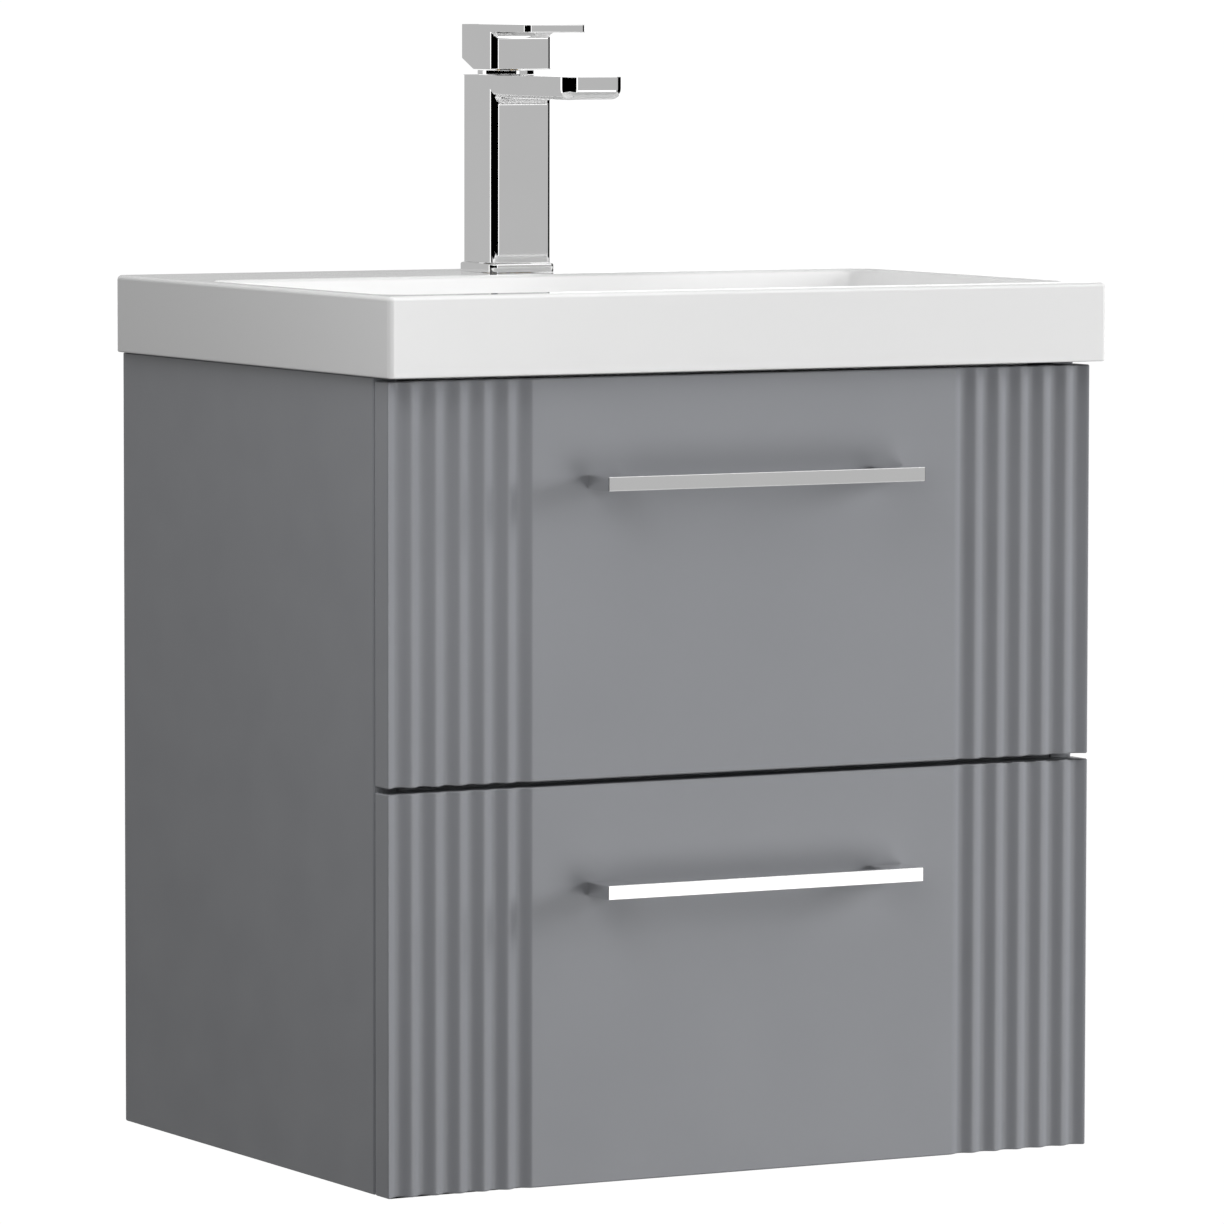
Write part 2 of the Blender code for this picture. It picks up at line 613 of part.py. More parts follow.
def make_front(name, low, drawer):
    mesh = outline_mesh(name, front_outline(), FRONT_HEIGHT, "Z")
    made = add_part(name, mesh, (0, 0, level(low + FRONT_HEIGHT / 2)), lacquer, drawer)
    height = level(low + FRONT_HEIGHT - HANDLE_DROP)
    for side in (-1, 1):
        middle = side * (HANDLE_LENGTH - HANDLE_FOOT) / 2
        hole = rod_mesh(name + "_screw_hole", SCREW_RADIUS + SCREW_CLEARANCE, 0.040, "Y", SMALL_STEPS)
        boolean(made, add_cutter(f"{name}_screw_hole_{side}", hole, (middle, FRONT_BACK - 0.012, height)))
        sink_length = 2 * (SCREW_HEAD + 0.0005)
        sink = rod_mesh(name + "_head_recess", SCREW_HEAD_RADIUS + SCREW_CLEARANCE, sink_length, "Y", SMALL_STEPS)
        boolean(made, add_cutter(f"{name}_head_recess_{side}", sink, (middle, FRONT_BACK, height)))


def make_handle(name, low, drawer):
    height = level(low + FRONT_HEIGHT - HANDLE_DROP)
    half = HANDLE_LENGTH / 2
    seat = FRONT_FACE - GAP
    outer = FRONT_FACE - HANDLE_REACH
    inner = outer + HANDLE_BAR
    between = half - HANDLE_FOOT
    outline = [(-half, outer), (half, outer), (half, seat), (between, seat), (between, inner), (-between, inner),
               (-between, seat), (-half, seat)]
    made = add_part(name, outline_mesh(name, outline, HANDLE_HEIGHT, "Z"), (0, 0, height), chrome, drawer)
    for side, word in ((-1, "left"), (1, "right")):
        middle = side * (HANDLE_LENGTH - HANDLE_FOOT) / 2
        hole_length = 2 * (SCREW_IN_FOOT + 0.001)
        hole = rod_mesh(name + "_hole", SCREW_RADIUS + SCREW_CLEARANCE, hole_length, "Y", SMALL_STEPS)
        boolean(made, add_cutter(f"{name}_hole_{side}", hole, (middle, FRONT_FACE, height)))
        make_screw(f"{name}_{word}_screw", middle, height, drawer)


def make_screw(name, across, height, drawer):
    head_back = FRONT_BACK - GAP
    head_front = head_back - SCREW_HEAD
    tip = FRONT_FACE - SCREW_IN_FOOT
    profile = [(0.0, head_back), (SCREW_HEAD_RADIUS, head_back), (SCREW_HEAD_RADIUS, head_front),
               (SCREW_RADIUS, head_front), (SCREW_RADIUS, tip), (0.0, tip)]
    screw = add_part(name, turned_mesh(name, profile, SMALL_STEPS), (across, 0, height), zinc, drawer)
    screw.rotation_euler.x = -math.pi / 2


def make_box_sides(prefix, heights, drawer):
    low, high = heights
    inner = BOX_HALF - BOX_SIDE
    board(prefix + "_left_side", (-BOX_HALF, BOX_FRONT, level(low)), (-inner, BOX_BACK, level(high)),
          white_board, drawer)
    board(prefix + "_right_side", (inner, BOX_FRONT, level(low)), (BOX_HALF, BOX_BACK, level(high)),
          white_board, drawer)


def make_upper_box(drawer):
    """The box that steps round the bottle trap."""
    make_box_sides("upper_drawer", UPPER_BOX, drawer)
    low, high = UPPER_BOX
    inner = BOX_HALF - BOX_SIDE - GAP
    floor = low + BOX_BOTTOM_LIFT
    notch = NOTCH_HALF_WIDTH
    plan = [(-inner, BOX_FRONT), (inner, BOX_FRONT), (inner, BOX_BACK), (notch, BOX_BACK),
            (notch, NOTCH_FRONT), (-notch, NOTCH_FRONT), (-notch, BOX_BACK), (-inner, BOX_BACK)]
    bottom = outline_mesh("upper_drawer_bottom", plan, BOX_BOTTOM, "Z")
    add_part("upper_drawer_bottom", bottom, (0, 0, level(floor + BOX_BOTTOM / 2)), white_board, drawer)
    base = floor + BOX_BOTTOM + GAP
    outer = notch + NOTCH_WALL
    wall_front = NOTCH_FRONT - NOTCH_WALL
    wall = [(-outer, wall_front), (outer, wall_front), (outer, BOX_BACK), (notch, BOX_BACK),
            (notch, NOTCH_FRONT), (-notch, NOTCH_FRONT), (-notch, BOX_BACK), (-outer, BOX_BACK)]
    around = outline_mesh("upper_drawer_notch_wall", wall, high - base, "Z")
    add_part("upper_drawer_notch_wall", around, (0, 0, level((high + base) / 2)), white_board, drawer)
    for name, side in (("upper_drawer_left_back", -1), ("upper_drawer_right_back", 1)):
        ends = sorted((side * (outer + GAP), side * inner))
        board(name, (ends[0], BOX_BACK - BOX_SIDE, level(base)), (ends[1], BOX_BACK, level(high)),
              white_board, drawer)


def make_lower_box(drawer):
    make_box_sides("lower_drawer", LOWER_BOX, drawer)
    low, high = LOWER_BOX
    inner = BOX_HALF - BOX_SIDE - GAP
    floor = low + BOX_BOTTOM_LIFT
    floor_top = floor + BOX_BOTTOM
    board("lower_drawer_bottom", (-inner, BOX_FRONT, level(floor)), (inner, BOX_BACK, level(floor_top)),
          white_board, drawer, edge=0)
    base = floor_top + GAP
    board("lower_drawer_back", (-inner, BOX_BACK - BOX_SIDE, level(base)), (inner, BOX_BACK, level(high)),
          white_board, drawer)


def channel(web, lip, height, side):
    """The section of one runner member: a web at x = web with lips reaching to x = lip."""
    toward = math.copysign(RUNNER_SHEET, lip - web)
    half = height / 2
    inside = half - RUNNER_SHEET
    points = [(web, -half), (web, half), (lip, half), (lip, inside), (web + toward, inside),
              (web + toward, -inside), (lip, -inside), (lip, -half)]
    return [(side * across, along) for across, along in points]


def make_runners(prefix, height, cabinet, sliding, drawer):
    """Three nested members on each side: one on the carcass, one between, one on the drawer."""
    rear = -0.060
    front = rear - RUNNER_LENGTH
    members = (
        ("cabinet_member", INNER_HALF - GAP, INNER_HALF - 0.0098, 0.0450, 0.0, cabinet),
        ("middle_member", INNER_HALF - 0.0033, INNER_HALF - 0.0118, 0.0400, 0.005, sliding),
        ("drawer_member", BOX_HALF + GAP, BOX_HALF + 0.0075, 0.0320, 0.0, drawer),
    )
    for word, side in (("left", -1), ("right", 1)):
        for kind, web, lip, size, inset, parent in members:
            name = f"{prefix}_{word}_{kind}"
            length = RUNNER_LENGTH - 2 * inset
            mesh = outline_mesh(name, channel(web, lip, size, side), length, "Y")
            add_part(name, mesh, (0, (front + rear) / 2, level(height)), zinc, parent)


clear_scene()
parts = new_collection("wall_hung_vanity")
cutters = new_collection("cutters")

lacquer = finish("grey_lacquer", GREY_LACQUER, 0.45, 0.0)
white_board = finish("white_board", WHITE_BOARD, 0.50, 0.0)
ceramic = finish("glazed_ceramic", CERAMIC, 0.08, 0.0)
chrome = finish("polished_chrome", CHROME, 0.05, 1.0)
zinc = finish("zinc_plated_steel", ZINC, 0.35, 1.0)
white_plastic = finish("white_plastic", WHITE_PLASTIC, 0.40, 0.0)
brass = finish("raw_brass", BRASS, 0.30, 1.0)

cabinet_body = empty("cabinet_body", (0, 0, 0))
upper_slide = empty("upper_drawer_slide", (0, FRONT_FACE, level(UPPER_RUNNER_HEIGHT)))
upper_middle = empty("upper_middle_slide", (0, FRONT_FACE, level(UPPER_RUNNER_HEIGHT)))
lower_slide = empty("lower_drawer_slide", (0, FRONT_FACE, level(LOWER_RUNNER_HEIGHT)))
lower_middle = empty("lower_middle_slide", (0, FRONT_FACE, level(LOWER_RUNNER_HEIGHT)))
plug_slide = empty("plug_slide", (0, BOWL_Y, level(BOWL_FLOOR)))
lever_turn = empty("lever_turn", (0, TAP_Y, tap_level(LEVER_BOTTOM)))
lever_lift = empty("lever_lift", (0, TAP_BACK - LEVER_CHAMFER[0], tap_level(LEVER_BOTTOM + 0.0013)))

make_side_panels(cabinet_body)
make_cross_rails(cabinet_body)
make_hanging(cabinet_body)
make_basin(cabinet_body)
make_overflow_ring(cabinet_body)
make_waste(cabinet_body)
make_plug(plug_slide)
make_trap(cabinet_body)
make_tap_fixed(cabinet_body)
make_spindle(lever_turn)
make_lever(lever_lift)

make_front("upper_drawer_front", UPPER_FRONT_LOW, upper_slide)
make_handle("upper_handle", UPPER_FRONT_LOW, upper_slide)
make_upper_box(upper_slide)
make_runners("upper", UPPER_RUNNER_HEIGHT, cabinet_body, upper_middle, upper_slide)

make_front("lower_drawer_front", LOWER_FRONT_LOW, lower_slide)
make_handle("lower_handle", LOWER_FRONT_LOW, lower_slide)
make_lower_box(lower_slide)
make_runners("lower", LOWER_RUNNER_HEIGHT, cabinet_body, lower_middle, lower_slide)
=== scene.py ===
import json
import math

import bmesh
import bpy
from mathutils import Matrix, Vector


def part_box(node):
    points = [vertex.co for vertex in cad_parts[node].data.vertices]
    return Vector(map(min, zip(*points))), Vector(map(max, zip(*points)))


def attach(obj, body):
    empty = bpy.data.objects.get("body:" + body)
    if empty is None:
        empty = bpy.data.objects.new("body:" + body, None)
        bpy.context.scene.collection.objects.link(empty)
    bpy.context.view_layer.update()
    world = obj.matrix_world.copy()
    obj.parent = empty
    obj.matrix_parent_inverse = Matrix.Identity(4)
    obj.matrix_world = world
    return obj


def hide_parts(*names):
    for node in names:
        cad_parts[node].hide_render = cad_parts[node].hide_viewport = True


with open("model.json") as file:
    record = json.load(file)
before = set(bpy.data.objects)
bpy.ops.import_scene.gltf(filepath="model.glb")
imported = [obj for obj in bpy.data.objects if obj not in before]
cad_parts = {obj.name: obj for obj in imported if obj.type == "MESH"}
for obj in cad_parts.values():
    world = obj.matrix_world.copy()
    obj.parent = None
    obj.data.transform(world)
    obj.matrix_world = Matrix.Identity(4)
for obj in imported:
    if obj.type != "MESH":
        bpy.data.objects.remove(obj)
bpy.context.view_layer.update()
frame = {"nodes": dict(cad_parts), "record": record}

print("frame loaded,", len(frame["nodes"]), "nodes")

# finishes: colours drift over "patch" metres, and the skin's grain and depth are in metres too
lacquerLook = {
    "colour": (0.232, 0.238, 0.254), "shade": (0.252, 0.258, 0.275), "patch": 0.12, "stretch": (1, 1, 1),
    "roughness": (0.42, 0.50), "grain": 0.0016, "depth": 0.000012, "metallic": 0.0, "coat": 0.0,
}
glazeLook = {
    "colour": (0.79, 0.79, 0.79), "shade": (0.81, 0.81, 0.808), "patch": 0.09, "stretch": (1, 1, 1),
    "roughness": (0.09, 0.14), "grain": 0.014, "depth": 0.000004, "metallic": 0.0, "coat": 0.5,
}
chromeLook = {
    "colour": (0.90, 0.90, 0.90), "shade": (0.93, 0.93, 0.93), "patch": 0.03, "stretch": (1, 1, 1),
    "roughness": (0.015, 0.03), "grain": 0.010, "depth": 0.0000001, "metallic": 1.0, "coat": 0.0,
}
zincLook = {
    "colour": (0.50, 0.51, 0.53), "shade": (0.62, 0.63, 0.66), "patch": 0.014, "stretch": (1, 0.25, 1),
    "roughness": (0.28, 0.42), "grain": 0.0009, "depth": 0.00001, "metallic": 1.0, "coat": 0.0,
}
brassLook = {
    "colour": (0.60, 0.42, 0.18), "shade": (0.68, 0.50, 0.24), "patch": 0.008, "stretch": (1, 1, 4),
    "roughness": (0.20, 0.32), "grain": 0.0005, "depth": 0.00001, "metallic": 1.0, "coat": 0.0,
}
plasticLook = {
    "colour": (0.76, 0.76, 0.74), "shade": (0.80, 0.80, 0.79), "patch": 0.02, "stretch": (1, 1, 1),
    "roughness": (0.42, 0.52), "grain": 0.0006, "depth": 0.00001, "metallic": 0.0, "coat": 0.0,
}
melamineLook = {
    "colour": (0.66, 0.66, 0.65), "shade": (0.74, 0.74, 0.73), "patch": 0.05, "stretch": (1, 1, 1),
    "roughness": (0.45, 0.58), "grain": 0.0011, "depth": 0.00002, "metallic": 0.0, "coat": 0.0,
}


def noiseOf(tree, vector, size, detail):
    noise = tree.nodes.new("ShaderNodeTexNoise")
    noise.inputs["Scale"].default_value = 1 / size
    noise.inputs["Detail"].default_value = detail
    tree.links.new(vector, noise.inputs["Vector"])
    return noise.outputs["Fac"]


def makeFinish(name, look):
    finish = bpy.data.materials.new(name)
    finish.use_nodes = True
    tree = finish.node_tree
    shader = tree.nodes["Principled BSDF"]
    place = tree.nodes.new("ShaderNodeTexCoord")
    stretch = tree.nodes.new("ShaderNodeMapping")
    stretch.inputs["Scale"].default_value = look["stretch"]
    tree.links.new(place.outputs["Object"], stretch.inputs["Vector"])
    vector = stretch.outputs["Vector"]
    tint = tree.nodes.new("ShaderNodeMix")  # slow drift between two close colours
    tint.data_type = "RGBA"
    tint.inputs["A"].default_value = (*look["colour"], 1)
    tint.inputs["B"].default_value = (*look["shade"], 1)
    tree.links.new(noiseOf(tree, vector, look["patch"], 3), tint.inputs["Factor"])
    tree.links.new(tint.outputs["Result"], shader.inputs["Base Color"])
    gloss = tree.nodes.new("ShaderNodeMapRange")
    gloss.inputs["From Min"].default_value = 0.3
    gloss.inputs["From Max"].default_value = 0.7
    gloss.inputs["To Min"].default_value = look["roughness"][0]
    gloss.inputs["To Max"].default_value = look["roughness"][1]
    tree.links.new(noiseOf(tree, vector, look["patch"] / 3, 4), gloss.inputs["Value"])
    tree.links.new(gloss.outputs["Result"], shader.inputs["Roughness"])
    bump = tree.nodes.new("ShaderNodeBump")  # the fine skin of the finish
    bump.inputs["Strength"].default_value = 1.0
    bump.inputs["Distance"].default_value = look["depth"]
    tree.links.new(noiseOf(tree, vector, look["grain"], 2), bump.inputs["Height"])
    tree.links.new(bump.outputs["Normal"], shader.inputs["Normal"])
    shader.inputs["Metallic"].default_value = look["metallic"]
    shader.inputs["Coat Weight"].default_value = look["coat"]
    shader.inputs["Coat Roughness"].default_value = 0.04
    return finish


finishes = {
    "lacquer": makeFinish("satinGreyLacquer", lacquerLook),
    "ceramic": makeFinish("whiteGlaze", glazeLook),
    "chrome": makeFinish("polishedChrome", chromeLook),
    "zinc_steel": makeFinish("zincPlate", zincLook),
    "brass": makeFinish("machinedBrass", brassLook),
    "white_plastic": makeFinish("whitePlastic", plasticLook),
    "drawer_board": makeFinish("whiteMelamine", melamineLook),
}
slotOf = {part["node"]: part["material_slot"] for part in frame["record"]["subparts"]}
print("finishes made")


# steps that several pieces share
hair = 0.00002  # two places closer than this are the same
mergeGap = 0.000002
evenWeight = 50


def cubeBetween(bm, low, high):
    verts = bmesh.ops.create_cube(bm, size=1.0)["verts"]
    bmesh.ops.scale(bm, vec=high - low, verts=verts)
    bmesh.ops.translate(bm, vec=(low + high) / 2, verts=verts)


def edgesWhere(bm, test):
    return [edge for edge in bm.edges if all(test(vert.co) for vert in edge.verts)]


def near(value, target):
    return abs(value - target) < hair


def upright(edge):
    along = edge.verts[0].co - edge.verts[1].co
    return abs(along.x) + abs(along.y) < hair


def roundEdges(bm, edges, radius, segments):
    bmesh.ops.bevel(bm, geom=edges, offset=radius, segments=segments, profile=0.5, affect="EDGES",
                    material=-1, clamp_overlap=True)


def cutAcross(bm, point, normal, clear=False):
    return bmesh.ops.bisect_plane(bm, geom=bm.verts[:] + bm.edges[:] + bm.faces[:], plane_co=point,
                                  plane_no=normal, clear_outer=clear)


def growFaces(bm, faces, move, keep=False):
    # pulls faces out by a move and gives back what moved; keep leaves the old faces in place
    grown = bmesh.ops.extrude_face_region(bm, geom=faces)["geom"]
    if not keep:
        bmesh.ops.delete(bm, geom=[face for face in faces if face.is_valid], context="FACES_ONLY")
    verts = [item for item in grown if isinstance(item, bmesh.types.BMVert)]
    bmesh.ops.translate(bm, vec=move, verts=verts)
    return [item for item in grown if isinstance(item, bmesh.types.BMFace)], verts


def sharpEdges(bm, degrees):
    limit = math.radians(degrees)
    return [edge for edge in bm.edges if len(edge.link_faces) == 2 and edge.calc_face_angle() > limit]


def shadeByAngle(bm, degrees):
    for face in bm.faces:
        face.smooth = True
    limit = math.radians(degrees)
    for edge in bm.edges:
        edge.smooth = len(edge.link_faces) == 2 and edge.calc_face_angle() < limit


def addPiece(name, bm, slotName, body, nodes, degrees=32):
    bmesh.ops.remove_doubles(bm, verts=bm.verts, dist=mergeGap)
    bmesh.ops.recalc_face_normals(bm, faces=bm.faces)
    shadeByAngle(bm, degrees)
    mesh = bpy.data.meshes.new(name)
    bm.to_mesh(mesh)
    bm.free()
    mesh.materials.append(finishes[slotName])
    piece = bpy.data.objects.new(name, mesh)
    bpy.context.scene.collection.objects.link(piece)
    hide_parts(*nodes)
    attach(piece, body)
    return piece


def evenNormals(piece):
    even = piece.modifiers.new("Even normals", "WEIGHTED_NORMAL")
    even.keep_sharp = True
    even.weight = evenWeight


def cutterObject(name, bm):
    bmesh.ops.recalc_face_normals(bm, faces=bm.faces)
    mesh = bpy.data.meshes.new(name)
    bm.to_mesh(mesh)
    bm.free()
    cutter = bpy.data.objects.new(name, mesh)
    bpy.context.scene.collection.objects.link(cutter)
    return cutter


def finished(block):
    # runs a block's modifiers, gives back the result as a bmesh and removes the block
    bpy.context.view_layer.update()
    evaluated = block.evaluated_get(bpy.context.evaluated_depsgraph_get())
    result = bmesh.new()
    result.from_mesh(evaluated.to_mesh())
    evaluated.to_mesh_clear()
    bpy.data.objects.remove(block)
    return result


def carve(bm, steps):
    # runs Boolean steps on a bmesh and gives back a new bmesh
    block = cutterObject("carvedBlock", bm)
    for operation, cutter in steps:
        cut = block.modifiers.new("Cut", "BOOLEAN")
        cut.operation = operation
        cut.solver = "MANIFOLD"
        cut.object = cutter
    result = finished(block)
    for operation, cutter in steps:
        bpy.data.objects.remove(cutter)
    return result


def rodCutter(name, radius, start, end, steps=48):
    bm = bmesh.new()
    bmesh.ops.create_cone(bm, cap_ends=True, segments=steps, radius1=radius, radius2=radius,
                          depth=(end - start).length)
    turn = Vector((0, 0, 1)).rotation_difference(end - start).to_matrix().to_4x4()
    bmesh.ops.transform(bm, matrix=Matrix.Translation((start + end) / 2) @ turn, verts=bm.verts)
    return cutterObject(name, bm)


def spun(profile, closed, steps=64):
    # turns a line of (radius, height) points about Z
    bm = bmesh.new()
    points = [bm.verts.new((radius, 0, height)) for radius, height in profile]
    ends = points[1:] + points[:1] if closed else points[1:]
    for start, end in zip(points, ends):
        bm.edges.new((start, end))
    bmesh.ops.spin(bm, geom=bm.verts[:] + bm.edges[:], cent=(0, 0, 0), axis=(0, 0, 1), angle=math.tau,
                   steps=steps, use_merge=True)
    bmesh.ops.remove_doubles(bm, verts=bm.verts, dist=mergeGap)
    bmesh.ops.recalc_face_normals(bm, faces=bm.faces)
    return bm


def putAt(bm, place, turn=None):
    matrix = Matrix.Translation(place)
    if turn is not None:
        matrix = matrix @ turn
    bmesh.ops.transform(bm, matrix=matrix, verts=bm.verts)


# drawer fronts: a flat board with cosine flutes at both ends and screw recesses in the back
frontLook = {"flutedWidth": 0.100, "flutes": 6, "fluteDepth": 0.0035, "cuts": 599, "easedEdge": 0.0007,
             "longEdge": 0.1, "recessRadius": 0.0043, "recessDepth": 0.0025, "past": 0.004}


def makeFront(name, node, body, screwNodes):
    low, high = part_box(node)
    bm = bmesh.new()
    cubeBetween(bm, low, high)
    roundEdges(bm, [edge for edge in bm.edges if upright(edge)], frontLook["easedEdge"], 3)
    across = [edge for edge in edgesWhere(bm, lambda co: near(co.y, low.y))
              if abs(edge.verts[0].co.x - edge.verts[1].co.x) > frontLook["longEdge"]]
    bmesh.ops.subdivide_edges(bm, edges=across, cuts=frontLook["cuts"], use_grid_fill=True)
    pitch = frontLook["flutedWidth"] / frontLook["flutes"]
    start = high.x - frontLook["flutedWidth"]
    for vert in bm.verts:
        past = abs(vert.co.x) - start
        if past > 0 and near(vert.co.y, low.y):
            vert.co.y += frontLook["fluteDepth"] * (1 - math.cos(math.tau * past / pitch)) / 2
    bm.normal_update()
    for upward in (-1, 1):
        cap = [face for face in bm.faces if face.normal.z * upward > 0.9]
        border = bmesh.ops.inset_region(bm, faces=cap, thickness=frontLook["easedEdge"],
                                        use_even_offset=True)
        inside = {vert for face in cap for vert in face.verts}
        rim = {vert for face in border["faces"] for vert in face.verts} - inside
        bmesh.ops.translate(bm, vec=(0, 0, -upward * frontLook["easedEdge"]), verts=list(rim))
    recesses = []
    for screwNode in screwNodes:
        screwLow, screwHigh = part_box(screwNode)
        middle = (screwLow + screwHigh) / 2
        back = Vector((middle.x, high.y + frontLook["past"], middle.z))
        front = Vector((middle.x, high.y - frontLook["recessDepth"], middle.z))
        recesses.append(("DIFFERENCE", rodCutter("recess", frontLook["recessRadius"], back, front)))
    bm = carve(bm, recesses)
    evenNormals(addPiece(name, bm, "lacquer", body, [node]))


for drawerName in ("upper", "lower"):
    screwNodes = [f"{drawerName}_handle_{side}_screw" for side in ("left", "right")]
    makeFront(f"{drawerName}Front", f"{drawerName}_drawer_front", f"{drawerName}_drawer", screwNodes)
print("drawer fronts made")

# bar handles
handleLook = {"bar": 0.005, "foot": 0.024, "easedEdge": 0.0005}


def makeHandle(name, node, body):
    low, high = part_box(node)
    bm = bmesh.new()
    barBack = low.y + handleLook["bar"]
    cubeBetween(bm, low, Vector((high.x, barBack, high.z)))
    for side in (-1, 1):
        cutAcross(bm, (side * (high.x - handleLook["foot"]), 0, 0), (1, 0, 0))
    feet = [face for face in bm.faces if face.normal.y > 0.9
            and abs(face.calc_center_median().x) > high.x - handleLook["foot"]]
    growFaces(bm, feet, (0, high.y - barBack, 0))
    roundEdges(bm, sharpEdges(bm, 50), handleLook["easedEdge"], 3)
    evenNormals(addPiece(name, bm, "chrome", body, [node]))


for drawerName in ("upper", "lower"):
    makeHandle(f"{drawerName}Handle", f"{drawerName}_handle", f"{drawerName}_drawer")
print("handles made")

# basin: a slab with a skirt round its hollow underside, and a bowl let into it
basinLook = {"slabLow": 0.043, "uprightRadius": 0.0035, "rimRadius": 0.003, "footRadius": 0.0012,
             "skirt": 0.018, "ceiling": 0.081, "bowlHalfWidth": 0.2425, "bowlFront": -0.370,
             "bowlBack": -0.112, "bowlDepth": 0.118, "draft": 0.38, "corner": 0.022, "cornerSteps": 10,
             "floorCurve": 0.025, "curveSteps": 10, "bowlRim": 0.004, "rimSteps": 6, "above": 0.002,
             "shell": 0.008, "shellTop": 0.005, "wasteHole": 0.0232, "wasteReach": 0.03,
             "tapHole": 0.0175, "tapY": -0.060, "tapHoleLow": 0.07, "tapHoleHigh": 0.11,
             "overflowDrop": 0.042, "overflowRadius": 0.0110, "overflowReach": 0.015}


def bowlStations(offset, top, rim):
    # (how far in, how far down) pairs of the bowl's wall, from the deck to the floor
    draft = basinLook["draft"]
    lean = math.atan(draft)
    depth = basinLook["bowlDepth"] + offset
    growth = offset * math.sqrt(1 + draft ** 2)
    stations = []
    if rim:
        stations.append((-rim, -basinLook["above"]))
        for step in range(basinLook["rimSteps"] + 1):
            angle = (math.pi / 2 - lean) * step / basinLook["rimSteps"]
            stations.append((-rim * (1 - math.sin(angle)), rim * (1 - math.cos(angle))))
    else:
        stations.append((draft * top - growth, top))
    reach = basinLook["floorCurve"] + offset
    curve = reach * math.tan((math.pi / 2 + lean) / 2)
    middleIn = draft * depth - growth + reach
    middleDown = depth - curve
    for step in range(basinLook["curveSteps"] + 1):
        angle = lean + (math.pi / 2 - lean) * step / basinLook["curveSteps"]
        stations.append((middleIn - curve * math.cos(angle), middleDown + curve * math.sin(angle)))
    return stations


def bowlForm(name, offset, top, rim):
    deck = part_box("basin")[1].z
    middleY = (basinLook["bowlFront"] + basinLook["bowlBack"]) / 2
    halfX = basinLook["bowlHalfWidth"]
    halfY = (basinLook["bowlBack"] - basinLook["bowlFront"]) / 2
    stations = bowlStations(offset, top, rim)
    inward, down = stations[0]
    bm = bmesh.new()
    bmesh.ops.create_grid(bm, x_segments=1, y_segments=1, size=1.0)
    bmesh.ops.scale(bm, vec=(halfX - inward, halfY - inward, 1), verts=bm.verts)
    bmesh.ops.bevel(bm, geom=bm.verts[:], offset=basinLook["corner"] + offset,
                    segments=basinLook["cornerSteps"], profile=0.5, affect="VERTICES", material=-1)
    bmesh.ops.translate(bm, vec=(0, middleY, deck - down), verts=bm.verts)
    centred = Matrix.Translation((0, -middleY, 0))
    floor = bm.faces[:]
    for index, (nextIn, nextDown) in enumerate(stations[1:]):
        floor, verts = growFaces(bm, floor, (0, 0, down - nextDown), keep=index == 0)
        squeeze = ((halfX - nextIn) / (halfX - inward), (halfY - nextIn) / (halfY - inward), 1)
        bmesh.ops.scale(bm, vec=squeeze, space=centred, verts=verts)
        inward, down = nextIn, nextDown
    return cutterObject(name, bm)


def makeBasin():
    low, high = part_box("basin")
    slabLow = basinLook["slabLow"]
    bm = bmesh.new()
    cubeBetween(bm, Vector((low.x, low.y, slabLow)), high)
    roundEdges(bm, [edge for edge in bm.edges if upright(edge)], basinLook["uprightRadius"], 6)
    roundEdges(bm, edgesWhere(bm, lambda co: near(co.z, high.z)), basinLook["rimRadius"], 6)
    roundEdges(bm, edgesWhere(bm, lambda co: near(co.z, slabLow)), basinLook["footRadius"], 3)
    foot = [face for face in bm.faces if face.normal.z < -0.99]
    bmesh.ops.inset_region(bm, faces=foot, thickness=basinLook["skirt"] - basinLook["footRadius"],
                           use_even_offset=True)
    foot = [face for face in bm.faces if face.normal.z < -0.99]
    hollow = max(foot, key=lambda face: face.calc_area())
    growFaces(bm, [hollow], (0, 0, basinLook["ceiling"] - slabLow))
    tapHole = rodCutter("tapHole", basinLook["tapHole"],
                        Vector((0, basinLook["tapY"], basinLook["tapHoleLow"])),
                        Vector((0, basinLook["tapY"], basinLook["tapHoleHigh"])))
    floorMiddle = Vector((0, (basinLook["bowlFront"] + basinLook["bowlBack"]) / 2,
                          high.z - basinLook["bowlDepth"]))
    downward = Vector((0, 0, -basinLook["wasteReach"]))
    wasteHole = rodCutter("wasteHole", basinLook["wasteHole"], floorMiddle + downward,
                          floorMiddle - downward)
    drop = basinLook["overflowDrop"]
    overflowAt = Vector((0, basinLook["bowlBack"] - basinLook["draft"] * drop, high.z - drop))
    intoWall = Vector((0, 1, -basinLook["draft"])).normalized() * basinLook["overflowReach"]
    overflowHole = rodCutter("overflowHole", basinLook["overflowRadius"], overflowAt - intoWall,
                             overflowAt + intoWall)
    bm = carve(bm, [("UNION", bowlForm("bowlShell", basinLook["shell"], basinLook["shellTop"], 0)),
                    ("DIFFERENCE", bowlForm("bowlSpace", 0, 0, basinLook["bowlRim"])),
                    ("DIFFERENCE", tapHole), ("DIFFERENCE", wasteHole), ("DIFFERENCE", overflowHole)])
    evenNormals(addPiece("basinGlazed", bm, "ceramic", "cabinet", ["basin"], 40))


makeBasin()
print("basin made")

